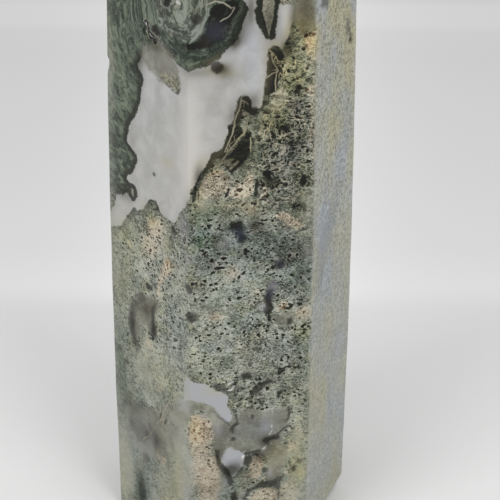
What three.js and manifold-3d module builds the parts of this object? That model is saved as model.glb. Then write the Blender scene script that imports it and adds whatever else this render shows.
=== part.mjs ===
import * as THREE from "three";
import { mergeVertices } from "three/addons/utils/BufferGeometryUtils.js";
import Module from "manifold-3d";

// A dendritic agate obelisk: one stone, sawn to a six-sided tower and ground by hand.
// Millimetres, +Z up. The origin is the middle of the foot, and the front face looks along -Y.

// The shaft. Its arrises bow: it is widest at the belly and a little narrower at both ends.
const ACROSS_CORNERS = 28;
const BELLY_HEIGHT = 38;
const BOW_REACH = 34;
const BOW_DROP = 0.34;

// Where the six arrises stand, in degrees from -Y towards +X. Hand cutting leaves them uneven.
const ARRIS_ANGLES = [-90, -28.73, 29.15, 90, 151.1, 208.7];

// Height of the shoulder at each arris, where the shaft turns into the six-sided point.
const SHOULDER_HEIGHTS = [77.6, 78.5, 77.8, 78.6, 77.3, 78.1];

// The point, with its rounded tip a little off the middle.
const TOTAL_HEIGHT = 97;
const TIP_OFFSET = [0.5, 0.3];
const TIP_RADIUS = 0.9;

// Softened edges: arrises, shoulder, and the bevel round the foot, ground most at the right.
const ARRIS_ROUNDING = 0.45;
const SHOULDER_SOFTENING = 0.3;
const SHOULDER_INSET = 0.06;
const FOOT_BEVEL_HEIGHTS = [0.6, 0.8, 1.3, 1.85, 1.4, 0.9];
const FOOT_BEVEL_IN = 0.65;

// How finely the surface is divided.
const ARC_STEPS = 4;
const SHAFT_ROWS = 9;
const POINT_ROWS = 5;
const TIP_ROWS = 3;

// Unrolled, each face is 14 mm wide: 0 is the left arris and 14 is the front-left one.
const FACE_STEP = 14;

// Natural pits and chips, placed by millimetres around the unrolled faces and by height.
// across runs around the stone, along runs up it, deep goes in, and lean turns it on the face.
const PITS = [
  { around: 27.2, height: 62.4, across: 1.0, along: 1.3, deep: 0.45, lean: 10 },
  { around: 7.0, height: 62.1, across: 0.6, along: 1.8, deep: 0.35, lean: 45 },
  { around: 8.2, height: 61.3, across: 1.3, along: 0.5, deep: 0.3, lean: 5 },
  { around: 0.0, height: 56.2, across: 0.8, along: 2.2, deep: 0.35, lean: 0 },
  { around: 10.3, height: 36.4, across: 0.7, along: 1.0, deep: 0.5, lean: 20 },
  { around: 19.3, height: 21.8, across: 1.1, along: 1.8, deep: 0.45, lean: 15 },
  { around: 22.0, height: 19.4, across: 1.4, along: 1.0, deep: 0.45, lean: 30 },
  { around: 20.4, height: 22.8, across: 1.2, along: 0.9, deep: 0.35, lean: 25 },
  { around: 24.6, height: 20.2, across: 0.9, along: 1.1, deep: 0.35, lean: 40 },
  { around: 23.8, height: 14.3, across: 1.5, along: 1.0, deep: 0.4, lean: 10 },
  { around: 21.7, height: 45.6, across: 0.6, along: 2.0, deep: 0.35, lean: 12 },
  { around: 24.5, height: 52.3, across: 1.0, along: 1.1, deep: 0.4, lean: 0 },
  { around: 19.5, height: 40.7, across: 1.6, along: 1.7, deep: 0.35, lean: 35 },
  { around: 39.8, height: 58.7, across: 0.6, along: 2.2, deep: 0.35, lean: -35 },
  { around: 31.4, height: 41.8, across: 0.6, along: 0.9, deep: 0.3, lean: 0 },
  { around: 49.5, height: 29.0, across: 1.5, along: 1.1, deep: 0.45, lean: 30 },
  { around: 56.1, height: 67.5, across: 0.9, along: 1.8, deep: 0.35, lean: 0 },
  { around: 63.0, height: 48.0, across: 1.2, along: 1.9, deep: 0.45, lean: 20 },
  { around: 65.2, height: 45.6, across: 1.0, along: 0.9, deep: 0.35, lean: -10 },
  { around: 77.5, height: 18.0, across: 1.1, along: 1.4, deep: 0.4, lean: 50 },
];

const wasm = await Module();
wasm.setup();

const radians = THREE.MathUtils.degToRad;
const SIDES = ARRIS_ANGLES.length;

// A distance square to a face, carried out to the arris between two faces.
const FLAT_TO_CORNER = 1 / Math.cos(Math.PI / SIDES);

// A rounded arris is a little inside the sharp one, so the sharp one stands further out.
const SHARP_EXTRA = ARRIS_ROUNDING * (FLAT_TO_CORNER - 1);

// Distance of a sharp arris from the middle of the shaft at a height.
function shaftRadius(height) {
  const fromBelly = (height - BELLY_HEIGHT) / BOW_REACH;
  return ACROSS_CORNERS / 2 + SHARP_EXTRA - BOW_DROP * fromBelly * fromBelly;
}

function shaftCorner(index, height, inset = 0) {
  const angle = radians(ARRIS_ANGLES[index]);
  const radius = shaftRadius(height) - inset;
  return new THREE.Vector3(radius * Math.sin(angle), -radius * Math.cos(angle), height);
}

// A level row of points round the corners, each turned by an arc that touches both sides.
function roundedRow(corners, rounding) {
  const row = [];
  corners.forEach((corner, index) => {
    const before = corners[(index + SIDES - 1) % SIDES];
    const after = corners[(index + 1) % SIDES];
    const back = new THREE.Vector2(before.x - corner.x, before.y - corner.y).normalize();
    const ahead = new THREE.Vector2(after.x - corner.x, after.y - corner.y).normalize();
    const half = Math.acos(back.dot(ahead)) / 2;
    const inward = back.clone().add(ahead).normalize();
    const centre = inward.clone().multiplyScalar(rounding / Math.sin(half));
    const sweep = Math.PI / 2 - half;
    for (let step = 0; step <= ARC_STEPS; step += 1) {
      const turn = sweep * ((2 * step) / ARC_STEPS - 1);
      const spoke = inward.clone().negate().rotateAround(new THREE.Vector2(), turn);
      spoke.multiplyScalar(rounding).add(centre);
      row.push([corner.x + spoke.x, corner.y + spoke.y, corner.z]);
    }
  });
  return row;
}

// Rows up the shaft, from the bevelled foot to just under the shoulder.
function shaftRows() {
  const footInset = FOOT_BEVEL_IN * FLAT_TO_CORNER;
  const footCorners = ARRIS_ANGLES.map((_, index) => shaftCorner(index, 0, footInset));
  const rows = [roundedRow(footCorners, ARRIS_ROUNDING)];
  for (let step = 0; step <= SHAFT_ROWS; step += 1) {
    const corners = ARRIS_ANGLES.map((_, index) => {
      const top = SHOULDER_HEIGHTS[index] - SHOULDER_SOFTENING;
      const height = THREE.MathUtils.lerp(FOOT_BEVEL_HEIGHTS[index], top, step / SHAFT_ROWS);
      return shaftCorner(index, height);
    });
    rows.push(roundedRow(corners, ARRIS_ROUNDING));
  }
  return rows;
}

// The tip is a ball that touches the sloping arrises, so the sharp apex stands above it.
const slope = Math.atan2(ACROSS_CORNERS / 2, TOTAL_HEIGHT - SHOULDER_HEIGHTS[0]);
const apex = new THREE.Vector3(
  TIP_OFFSET[0], TIP_OFFSET[1], TOTAL_HEIGHT + TIP_RADIUS * (1 / Math.sin(slope) - 1),
);
const ballMiddle = TOTAL_HEIGHT - TIP_RADIUS;

function pointCorner(index, height) {
  const shoulder = shaftCorner(index, SHOULDER_HEIGHTS[index], SHOULDER_INSET);
  const share = (height - shoulder.z) / (apex.z - shoulder.z);
  return shoulder.lerp(apex, share);
}

// Rows up the point, from the shoulder to where the rounded tip begins, then over the tip.
function pointRows() {
  const rows = [];
  const tipStart = ballMiddle + TIP_RADIUS * Math.sin(slope);
  for (let step = 0; step <= POINT_ROWS; step += 1) {
    const corners = ARRIS_ANGLES.map((_, index) => {
      const low = SHOULDER_HEIGHTS[index];
      return pointCorner(index, THREE.MathUtils.lerp(low, tipStart, step / POINT_ROWS));
    });
    const reach = corners[0].distanceTo(new THREE.Vector3(apex.x, apex.y, corners[0].z));
    rows.push(roundedRow(corners, Math.min(ARRIS_ROUNDING, reach / 2)));
  }
  const rim = TIP_RADIUS * Math.cos(slope);
  for (let step = 1; step <= TIP_ROWS; step += 1) {
    const lift = THREE.MathUtils.lerp(slope, Math.PI / 2, step / (TIP_ROWS + 1));
    const shrink = (TIP_RADIUS * Math.cos(lift)) / rim;
    const height = ballMiddle + TIP_RADIUS * Math.sin(lift);
    const corners = ARRIS_ANGLES.map((_, index) => {
      const corner = pointCorner(index, tipStart);
      corner.x = THREE.MathUtils.lerp(apex.x, corner.x, shrink);
      corner.y = THREE.MathUtils.lerp(apex.y, corner.y, shrink);
      corner.z = height;
      return corner;
    });
    rows.push(roundedRow(corners, (TIP_RADIUS * Math.cos(lift)) / 2));
  }
  return rows;
}

// The closed skin: a fan under the foot, bands between the rows, and a fan over the tip.
function skin(rows) {
  const positions = [[0, 0, 0], ...rows.flat(), [apex.x, apex.y, TOTAL_HEIGHT]];
  const around = rows[0].length;
  const last = positions.length - 1;
  const faces = [];
  for (let column = 0; column < around; column += 1) {
    const next = (column + 1) % around;
    faces.push([0, 1 + next, 1 + column]);
    for (let row = 0; row + 1 < rows.length; row += 1) {
      const low = 1 + row * around;
      const high = low + around;
      faces.push([low + column, low + next, high + next]);
      faces.push([low + column, high + next, high + column]);
    }
    const rim = last - around;
    faces.push([rim + column, rim + next, last]);
  }
  const geometry = new THREE.BufferGeometry();
  geometry.setAttribute("position", new THREE.Float32BufferAttribute(positions.flat(), 3));
  geometry.setIndex(faces.flat());
  return geometry;
}

// A point on the unrolled shaft, with the directions around, up and out of the stone there.
function placeOnShaft(around, height) {
  const index = Math.floor(around / FACE_STEP);
  const share = around / FACE_STEP - index;
  const left = shaftCorner(index % SIDES, height, SHARP_EXTRA);
  const right = shaftCorner((index + 1) % SIDES, height, SHARP_EXTRA);
  const before = shaftCorner((index + SIDES - 1) % SIDES, height, SHARP_EXTRA);
  const sideways = right.clone().sub(share === 0 ? before : left).normalize();
  const up = new THREE.Vector3(0, 0, 1);
  const out = new THREE.Vector3().crossVectors(sideways, up);
  return { point: left.lerp(right, share), sideways, up, out };
}

// The lump that leaves a pit: an icosahedron with a repeatable wobble, stretched and turned.
const PIT_WOBBLE = 0.16;
const WOBBLE_WAVES = new THREE.Vector3(5, 4, 3);

function pitCutter({ around, height, across, along, deep, lean }) {
  const { point, sideways, up, out } = placeOnShaft(around, height);
  const lump = new THREE.IcosahedronGeometry(1, 1);
  const spots = lump.attributes.position;
  const spot = new THREE.Vector3();
  for (let index = 0; index < spots.count; index += 1) {
    spot.fromBufferAttribute(spots, index);
    const phase = spot.clone().multiply(WOBBLE_WAVES);
    const wave = Math.sin(phase.x + around) + Math.sin(phase.y + height) * Math.cos(phase.z);
    spot.multiplyScalar(1 + PIT_WOBBLE * wave);
    spots.setXYZ(index, spot.x, spot.y, spot.z);
  }
  lump.scale(across / 2, along / 2, deep);
  lump.rotateZ(radians(lean));
  lump.applyMatrix4(new THREE.Matrix4().makeBasis(sideways, up, out).setPosition(point));
  return lump;
}

function toSolid(geometry) {
  const bare = geometry.clone();
  bare.deleteAttribute("normal");
  bare.deleteAttribute("uv");
  const merged = mergeVertices(bare, 1e-5);
  return new wasm.Manifold(new wasm.Mesh({
    numProp: 3,
    vertProperties: new Float32Array(merged.attributes.position.array),
    triVerts: new Uint32Array(merged.index.array),
  }));
}

function toGeometry(solid) {
  const mesh = solid.getMesh();
  const geometry = new THREE.BufferGeometry();
  geometry.setAttribute("position", new THREE.Float32BufferAttribute(mesh.vertProperties, 3));
  geometry.setIndex(Array.from(mesh.triVerts));
  return geometry;
}

function makeStone() {
  let stone = toSolid(skin([...shaftRows(), ...pointRows()]));
  for (const pit of PITS) {
    stone = stone.subtract(toSolid(pitCutter(pit)));
  }
  const geometry = toGeometry(stone);
  geometry.computeVertexNormals();
  return geometry;
}

// Polished agate: grey-green moss and milky chalcedony under a bright polish.
const agate = new THREE.MeshStandardMaterial({
  color: 0x8f9486, roughness: 0.12, metalness: 0, flatShading: true,
});

const obelisk = new THREE.Mesh(makeStone(), agate);
obelisk.name = "obelisk";

const group = new THREE.Group();
group.add(obelisk);

export default group;
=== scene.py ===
import math

import bpy
import numpy as np
from mathutils import Matrix, Vector


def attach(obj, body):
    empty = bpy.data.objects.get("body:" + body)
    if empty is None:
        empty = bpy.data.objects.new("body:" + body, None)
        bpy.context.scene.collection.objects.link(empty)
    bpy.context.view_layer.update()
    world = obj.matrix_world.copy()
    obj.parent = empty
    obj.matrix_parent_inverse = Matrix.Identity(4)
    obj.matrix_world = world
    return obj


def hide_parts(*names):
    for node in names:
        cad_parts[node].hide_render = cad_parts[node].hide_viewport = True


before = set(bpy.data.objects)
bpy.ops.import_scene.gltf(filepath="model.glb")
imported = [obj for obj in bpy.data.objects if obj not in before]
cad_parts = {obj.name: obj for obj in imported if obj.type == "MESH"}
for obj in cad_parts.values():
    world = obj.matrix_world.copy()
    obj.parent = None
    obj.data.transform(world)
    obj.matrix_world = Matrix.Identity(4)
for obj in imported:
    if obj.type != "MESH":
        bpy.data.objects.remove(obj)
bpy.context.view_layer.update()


# The camera stands a little left of the front face and looks down at the middle of the tower.
# It is close enough for the shaft to fill the picture, so the point and the front of the foot
# are outside it.
MM = 0.001
CAMERA_SIDEWAYS = 2.02 * MM
CAMERA_BACK = 208.8 * MM
CAMERA_HEIGHT = 130.3 * MM
CAMERA_TURN = math.radians(-9.92)
CAMERA_DOWN = math.radians(25.0)
CAMERA_ROLL = math.radians(0.33)
CAMERA_LENS = 144.0
SENSOR_WIDTH = 36.0

camera_data = bpy.data.cameras.new("camera")
camera_data.lens = CAMERA_LENS
camera_data.sensor_width = SENSOR_WIDTH
camera_data.clip_start = 10 * MM
camera_data.clip_end = 20.0
camera = bpy.data.objects.new("camera", camera_data)
bpy.context.scene.collection.objects.link(camera)
turned = Matrix.Rotation(CAMERA_TURN, 4, "Z")
tilted = Matrix.Rotation(math.radians(90) - CAMERA_DOWN, 4, "X")
rolled = Matrix.Rotation(CAMERA_ROLL, 4, "Z")
placed = Matrix.Translation((CAMERA_SIDEWAYS, -CAMERA_BACK, CAMERA_HEIGHT))
camera.matrix_world = turned @ placed @ tilted @ rolled
bpy.context.scene.camera = camera


def linear(red, green, blue):
    """A colour as it looks on screen, 0 to 255, as the light that the shader works with."""
    share = np.array([red, green, blue]) / 255
    bright = np.where(share > 0.04045, ((share + 0.055) / 1.055) ** 2.4, share / 12.92)
    return (*bright.tolist(), 1.0)


def feed(tree, socket, value):
    """Links a socket to another one, or sets it to a plain value."""
    if isinstance(value, bpy.types.NodeSocket):
        tree.links.new(value, socket)
    else:
        socket.default_value = value


def calculate(tree, operation, first, second=0.0, third=0.0, clamp=False):
    """One step of arithmetic on one, two or three values."""
    made = tree.nodes.new("ShaderNodeMath")
    made.operation = operation
    made.use_clamp = clamp
    for socket, value in zip(made.inputs, (first, second, third)):
        feed(tree, socket, value)
    return made.outputs[0]


def fade(tree, value, low, high, start=0.0, end=1.0):
    """A smooth step from start to end while the value goes from low to high."""
    made = tree.nodes.new("ShaderNodeMapRange")
    made.interpolation_type = "SMOOTHSTEP"
    for socket, given in zip(made.inputs, (value, low, high, start, end)):
        feed(tree, socket, given)
    return made.outputs[0]


def blend(tree, amount, under, over, mode="MIX"):
    """One colour laid over another by that amount, 0 to 1."""
    made = tree.nodes.new("ShaderNodeMix")
    made.data_type = "RGBA"
    made.blend_type = mode
    feed(tree, made.inputs[0], amount)
    feed(tree, made.inputs[6], under)
    feed(tree, made.inputs[7], over)
    return made.outputs[2]


def colour_ramp(tree, level, *stops):
    """A colour that changes evenly from one (position, colour) stop to the next."""
    made = tree.nodes.new("ShaderNodeValToRGB")
    made.color_ramp.elements[0].color = stops[0][1]
    made.color_ramp.elements[1].color = stops[-1][1]
    made.color_ramp.elements[0].position = stops[0][0]
    made.color_ramp.elements[1].position = stops[-1][0]
    for position, shade in stops[1:-1]:
        made.color_ramp.elements.new(position).color = shade
    tree.links.new(level, made.inputs[0])
    return made.outputs[0]


# The studio: a pale matte table, and behind it a sheet that glows with painted light, in painted
# bright and dim bands with a brighter painted glow fanning out behind the middle; two soft lamps above
# the front corners, and an even pale room.
FLOOR_REACH = 4.0
FLOOR_GAP = 0.02 * MM
TABLE_COLOUR = (0.80, 0.805, 0.80, 1.0)
SHEET_COLOUR = (0.06, 0.06, 0.06, 1.0)
SHEET_STARTS = 49 * MM
SHEET_SOFT = 7 * MM
SHEET_SPAN = 200 * MM
SHEET_GLOW_LEVELS = ((0.25, 216), (0.29, 221), (0.36, 215), (0.50, 210), (0.66, 206), (0.80, 202),
                (0.875, 203), (0.895, 208), (0.955, 208), (0.975, 203))
FAN_START = 209 * MM
FAN_SPREAD = 0.062
FAN_GAIN = 0.28
FAN_BASE = 0.92
ROOM_COLOUR = (1.0, 1.0, 1.0, 1.0)
ROOM_STRENGTH = 0.64
TABLE_ROUGHNESS = 0.9
TABLE_SPECULAR = 0.1

floor_mesh = bpy.data.meshes.new("floor")
floor_mesh.from_pydata(
    [(x * FLOOR_REACH, y * FLOOR_REACH, -FLOOR_GAP) for x, y in ((-1, -1), (1, -1), (1, 1), (-1, 1))],
    [], [(0, 1, 2, 3)])
floor = bpy.data.objects.new("floor", floor_mesh)
bpy.context.scene.collection.objects.link(floor)
floor_material = bpy.data.materials.new("pale table")
floor_material.use_nodes = True
floor_tree = floor_material.node_tree
floor_shader = floor_tree.nodes["Principled BSDF"]
floor_place = floor_tree.nodes.new("ShaderNodeTexCoord").outputs["Object"]
turned_place = floor_tree.nodes.new("ShaderNodeVectorRotate")
turned_place.rotation_type = "Z_AXIS"
feed(floor_tree, turned_place.inputs["Vector"], floor_place)
feed(floor_tree, turned_place.inputs["Angle"], -CAMERA_TURN)
split = floor_tree.nodes.new("ShaderNodeSeparateXYZ")
feed(floor_tree, split.inputs[0], turned_place.outputs[0])
sideways, behind = split.outputs[0], split.outputs[1]
# Past SHEET_STARTS the floor is a sheet whose light is painted: an emission that is brighter in a fan
# behind the middle.
on_sheet = fade(floor_tree, behind, SHEET_STARTS, SHEET_STARTS + SHEET_SOFT)
opening = calculate(floor_tree, "MULTIPLY", calculate(floor_tree, "ADD", behind, FAN_START), FAN_SPREAD)
off_middle = calculate(floor_tree, "POWER", calculate(floor_tree, "DIVIDE", sideways, opening), 2.0)
fan = calculate(floor_tree, "EXPONENT", calculate(floor_tree, "MULTIPLY", off_middle, -1.0))
sheet_light = colour_ramp(
    floor_tree, calculate(floor_tree, "DIVIDE", behind, SHEET_SPAN),
    *((position, linear(level - 1, level, level - 1)) for position, level in SHEET_GLOW_LEVELS))
fan_light = calculate(floor_tree, "MULTIPLY_ADD", fan, FAN_GAIN, FAN_BASE)
gain = calculate(floor_tree, "MULTIPLY", on_sheet, fan_light)
lit = floor_tree.nodes.new("ShaderNodeVectorMath")
lit.operation = "SCALE"
feed(floor_tree, lit.inputs[0], sheet_light)
feed(floor_tree, lit.inputs[3], gain)
floor_colour = blend(floor_tree, on_sheet, TABLE_COLOUR, SHEET_COLOUR)
feed(floor_tree, floor_shader.inputs["Base Color"], floor_colour)
feed(floor_tree, floor_shader.inputs["Emission Color"], lit.outputs[0])
floor_shader.inputs["Emission Strength"].default_value = 1.0
floor_shader.inputs["Roughness"].default_value = TABLE_ROUGHNESS
floor_shader.inputs["Specular IOR Level"].default_value = TABLE_SPECULAR
floor_mesh.materials.append(floor_material)

world = bpy.data.worlds.new("room")
bpy.context.scene.world = world
world.use_nodes = True
world.node_tree.nodes["Background"].inputs["Color"].default_value = ROOM_COLOUR
world.node_tree.nodes["Background"].inputs["Strength"].default_value = ROOM_STRENGTH

LAMP_SIZE = 0.26
LAMPS_AIM_HEIGHT = 35 * MM
LEFT_LAMP_PLACE = (-0.33, -0.28, 0.46)
LEFT_LAMP_POWER = 1.10
RIGHT_LAMP_PLACE = (0.16, -0.37, 0.42)
RIGHT_LAMP_POWER = 0.95


def hang_lamp(name, place, power):
    """A square soft lamp at a place in metres, with its power in watts, that faces the tower."""
    lamp_data = bpy.data.lights.new(name, "AREA")
    lamp_data.shape = "SQUARE"
    lamp_data.size = LAMP_SIZE
    lamp_data.energy = power
    lamp = bpy.data.objects.new(name, lamp_data)
    lamp.location = place
    aim = Vector((0, 0, LAMPS_AIM_HEIGHT)) - Vector(place)
    lamp.rotation_mode = "QUATERNION"
    lamp.rotation_quaternion = aim.to_track_quat("-Z", "Y")
    bpy.context.scene.collection.objects.link(lamp)


hang_lamp("left lamp", LEFT_LAMP_PLACE, LEFT_LAMP_POWER)
hang_lamp("right lamp", RIGHT_LAMP_PLACE, RIGHT_LAMP_POWER)


# The stone: one piece of dendritic agate, sawn to a six-sided tower and ground and polished
# by hand, so its arrises bow a little, its edges are soft and small natural pits stay open.
ACROSS_CORNERS = 28.0
BELLY_HEIGHT = 38.0
BOW_REACH = 34.0
BOW_DROP = 0.34
ARRIS_ANGLES = np.radians([-90, -28.73, 29.15, 90, 151.1, 208.7])
SHOULDER_HEIGHTS = np.array([77.6, 78.5, 77.8, 78.6, 77.3, 78.1])
TOTAL_HEIGHT = 97.0
TIP_OFFSET = np.array([0.5, 0.3])
TIP_RADIUS = 0.9
ARRIS_ROUNDING = 0.45
SHOULDER_SOFTENING = 0.3
SHOULDER_INSET = 0.06
FOOT_BEVEL_HEIGHTS = np.array([0.6, 0.8, 1.3, 1.85, 1.4, 0.9])
FOOT_BEVEL_IN = 0.65
SIDES = len(ARRIS_ANGLES)
FLAT_TO_CORNER = 1 / math.cos(math.pi / SIDES)
FACE_STEP = 14.0

# The grid is finer on the two faces that are seen square on. The rings of the foot and the rows of
# its bevel are shares of the way out and up, and an arris reaches ARC_REACH to both sides unrolled.
ARC_STEPS = 4
FACE_STEPS = (50, 52, 30, 26, 26, 26)
SHAFT_ROWS = 344
POINT_ROWS = 48
TIP_ROWS = 5
FOOT_RINGS = np.array([0.02, 0.35, 0.7, 0.93, 1.0])
BEVEL_ROWS = np.array([0.15, 0.5, 0.85])
ARC_REACH = 0.26


def shaft_corners(heights, inset=0.0):
    """Sharp corners at heights (rows, sides) in mm: half the width, less a bow that grows with
    the square of the distance from the belly, turned to each arris's angle."""
    extra = ARRIS_ROUNDING * (FLAT_TO_CORNER - 1)
    from_belly = (heights - BELLY_HEIGHT) / BOW_REACH
    radius = ACROSS_CORNERS / 2 + extra - BOW_DROP * from_belly ** 2 - inset
    return np.stack([radius * np.sin(ARRIS_ANGLES), -radius * np.cos(ARRIS_ANGLES), heights], -1)


def corner_rows():
    """Corners (rows, sides, 3) and rounding (rows): foot rings, bevel, shaft, point and tip.
    Each row is a level cut, with its corners on straight lines from the shoulder to the apex
    above it, and on a ball at the very tip."""
    foot_corner = shaft_corners(np.zeros((1, SIDES)), FOOT_BEVEL_IN * FLAT_TO_CORNER)
    foot = foot_corner * FOOT_RINGS[:, None, None]
    bevel_share = BEVEL_ROWS[:, None]
    bevel = shaft_corners(FOOT_BEVEL_HEIGHTS * bevel_share,
                          FOOT_BEVEL_IN * FLAT_TO_CORNER * (1 - bevel_share))
    shaft_share = np.linspace(0, 1, SHAFT_ROWS)[:, None]
    shaft_top = SHOULDER_HEIGHTS - SHOULDER_SOFTENING
    shaft = shaft_corners(FOOT_BEVEL_HEIGHTS + (shaft_top - FOOT_BEVEL_HEIGHTS) * shaft_share)
    slope = math.atan2(ACROSS_CORNERS / 2, TOTAL_HEIGHT - SHOULDER_HEIGHTS[0])
    apex = np.append(TIP_OFFSET, TOTAL_HEIGHT + TIP_RADIUS * (1 / math.sin(slope) - 1))
    ball_middle = TOTAL_HEIGHT - TIP_RADIUS
    tip_start = ball_middle + TIP_RADIUS * math.sin(slope)
    shoulder = shaft_corners(SHOULDER_HEIGHTS[None], SHOULDER_INSET)[0]
    levels = SHOULDER_HEIGHTS + (tip_start - SHOULDER_HEIGHTS) * np.linspace(0, 1, POINT_ROWS)[:, None]
    share = ((levels - shoulder[:, 2]) / (apex[2] - shoulder[:, 2]))[..., None]
    point = shoulder * (1 - share) + apex * share
    lift = np.linspace(slope, math.pi / 2, TIP_ROWS + 2)[1:-1, None]
    shrink = np.cos(lift) / math.cos(slope)
    tip_level = np.append(TIP_OFFSET, 0)
    sideways_only = np.array([1, 1, 0])
    tip = tip_level + (point[-1] - tip_level)[None] * sideways_only * shrink[..., None]
    tip[..., 2] = ball_middle + TIP_RADIUS * np.sin(lift)
    corners = np.concatenate([foot, bevel, shaft, point, tip])
    reach = np.linalg.norm(corners[:, 0, :2] - corners[:, :, :2].mean(1), axis=-1)
    return corners, np.minimum(ARRIS_ROUNDING, reach / 2)


def stone_grid():
    """Points (rows, columns, 3) in mm, and how far round each column lies on the unrolled faces.
    Every row runs round its corners: an arc that touches both sides, then the flat to the next."""
    corners, rounding = corner_rows()
    to_last = np.roll(corners, 1, 1)[..., :2] - corners[..., :2]
    to_next = np.roll(corners, -1, 1)[..., :2] - corners[..., :2]
    to_last /= np.linalg.norm(to_last, axis=-1, keepdims=True)
    to_next /= np.linalg.norm(to_next, axis=-1, keepdims=True)
    inward = to_last + to_next
    inward /= np.linalg.norm(inward, axis=-1, keepdims=True)
    half = np.arccos(np.clip((to_last * to_next).sum(-1), -1, 1)) / 2
    centre = corners[..., :2] + inward * (rounding[:, None] / np.sin(half))[..., None]
    turn = (math.pi / 2 - half)[..., None] * np.linspace(-1, 1, ARC_STEPS + 1)
    spoke_x = -inward[..., :1] * np.cos(turn) + inward[..., 1:] * np.sin(turn)
    spoke_y = -inward[..., 1:] * np.cos(turn) - inward[..., :1] * np.sin(turn)
    arcs = centre[..., None, :] + rounding[:, None, None, None] * np.stack([spoke_x, spoke_y], -1)
    level = np.broadcast_to(corners[..., None, 2:], arcs.shape[:-1] + (1,))
    arcs = np.concatenate([arcs, level], -1)
    arc_reach = ARC_REACH * np.linspace(-1, 1, ARC_STEPS + 1)
    points, around = [], []
    for side, steps in enumerate(FACE_STEPS):
        share = (np.arange(1, steps) / steps)[:, None]
        start = arcs[:, side, -1][:, None]
        end = arcs[:, (side + 1) % SIDES, 0][:, None]
        points += [arcs[:, side], start * (1 - share) + end * share]
        around.append(side * FACE_STEP + arc_reach)
        around.append(side * FACE_STEP + ARC_REACH + share[:, 0] * (FACE_STEP - 2 * ARC_REACH))
    return np.concatenate(points, 1), np.concatenate(around)


points, around = stone_grid()
rows, columns = points.shape[:2]
around = np.broadcast_to(around, (rows, columns))


# What grew in the stone: milky and smoky chalcedony, with pockets, and moss and threads of
# other minerals that filled the rest. It is all inside the one polished surface. Each growth
# is placed on the unrolled faces, in mm around from the left arris and mm up from MARK_BASE.
# The picture shows SEEN_REACH mm to both sides of SEEN_MIDDLE, and nothing above SEEN_TOP.
MARK_BASE = 1.0
SEAM_AROUND = 63.0
FULL_ROUND = FACE_STEP * SIDES
RIGHT_FACE_STARTS = 27.8
RIGHT_FACE_ENDS = 42.4
RIGHT_FACE_SOFT = 0.5
SEEN_MIDDLE = 21.0
SEEN_REACH = 22.0
SEEN_FADE = 4.0
SEEN_TOP = 68.0
SEEN_TOP_FADE = 5.0
FAR_AWAY = 99.0
TINY = 1e-9
LATTICE = 32
LAYER_SHIFT = 7.3


def rough(size, seed, layers=3):
    """Smooth random values near -1 to 1 on the grid: random numbers on a cubic lattice of that
    size in mm, blended by smooth steps, with each finer layer half the size and strength."""
    lattice = np.random.default_rng(seed).uniform(-1, 1, (LATTICE, LATTICE, LATTICE))
    total = np.zeros((rows, columns))
    for layer in range(layers):
        scaled = points * (2 ** layer / size) + LAYER_SHIFT * layer
        cell = np.floor(scaled).astype(int)
        share = scaled - cell
        share = share * share * (3 - 2 * share)
        for corner in range(8):
            step = np.array([corner & 1, corner >> 1 & 1, corner >> 2])
            weight = np.where(step, share, 1 - share).prod(-1)
            total += weight * lattice[tuple(np.moveaxis((cell + step) % LATTICE, -1, 0))] / 2 ** layer
    return total


# Hand grinding leaves the faces a little wavy, and natural pits and chips stay open in them.
# Each pit has its place around the unrolled faces, its height, and how far it reaches across,
# along and into the stone, all in mm, with how far it leans in degrees.
PITS = (
    (27.2, 62.4, 1.0, 1.3, 0.45, 10), (7.0, 62.1, 0.6, 1.8, 0.35, 45), (8.2, 61.3, 1.3, 0.5, 0.3, 5),
    (0.0, 56.2, 0.8, 2.2, 0.2, 0), (10.3, 36.4, 0.7, 1.0, 0.5, 20), (19.3, 21.8, 1.1, 1.8, 0.45, 15),
    (22.0, 19.4, 1.4, 1.0, 0.45, 30), (20.4, 22.8, 1.2, 0.9, 0.35, 25),
    (24.6, 20.2, 0.9, 1.1, 0.35, 40), (23.8, 14.3, 1.5, 1.0, 0.4, 10), (21.7, 45.6, 0.6, 2.0, 0.35, 12),
    (24.5, 52.3, 1.0, 1.1, 0.4, 0), (19.5, 40.7, 1.6, 1.7, 0.35, 35), (39.8, 58.7, 0.6, 2.2, 0.35, -35),
    (31.4, 41.8, 0.6, 0.9, 0.3, 0), (49.5, 29.0, 1.5, 1.1, 0.45, 30), (56.1, 67.5, 0.9, 1.8, 0.35, 0),
    (63.0, 48.0, 1.2, 1.9, 0.45, 20), (65.2, 45.6, 1.0, 0.9, 0.35, -10),
    (77.5, 18.0, 1.1, 1.4, 0.4, 50))
WAVE_DEPTH = 0.025
WAVE_LENGTH = 5.0
WAVE_STARTS = 2.0
WAVE_ENDS = 94.0
PIT_WOBBLE = 0.25
PIT_WALL = 1.5
PIT_ROUNDING = 0.8


def pit_depths():
    """Depth in mm at every point: the deepest of some bowls, each flat-bottomed and with an
    outline that is an ellipse, leaned over and made uneven by noise."""
    depths = np.zeros((rows, columns))
    uneven = 1 + PIT_WOBBLE * rough(0.9, 31, 2)
    for place, height, across, along, deep, lean in PITS:
        level = (around - place + FULL_ROUND / 2) % FULL_ROUND - FULL_ROUND / 2
        up = points[..., 2] - height
        turn = math.radians(lean)
        off = np.hypot((level * math.cos(turn) + up * math.sin(turn)) / (across / 2),
                       (up * math.cos(turn) - level * math.sin(turn)) / (along / 2))
        bowl = np.clip(PIT_WALL * (uneven - off ** 2), 0, 1) ** PIT_ROUNDING
        depths = np.maximum(depths, deep * bowl)
    return depths


spokes = points[..., :2] / np.linalg.norm(points[..., :2], axis=-1, keepdims=True)
off_foot = np.clip((points[..., 2] - WAVE_STARTS) / 2, 0, 1)
off_tip = np.clip((WAVE_ENDS - points[..., 2]) / 3, 0, 1)
waves = WAVE_DEPTH * np.clip(1 + rough(WAVE_LENGTH, 30, 2), 0, 2)
points[..., :2] -= spokes * (off_foot * off_tip * (waves + pit_depths()))[..., None]

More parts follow.
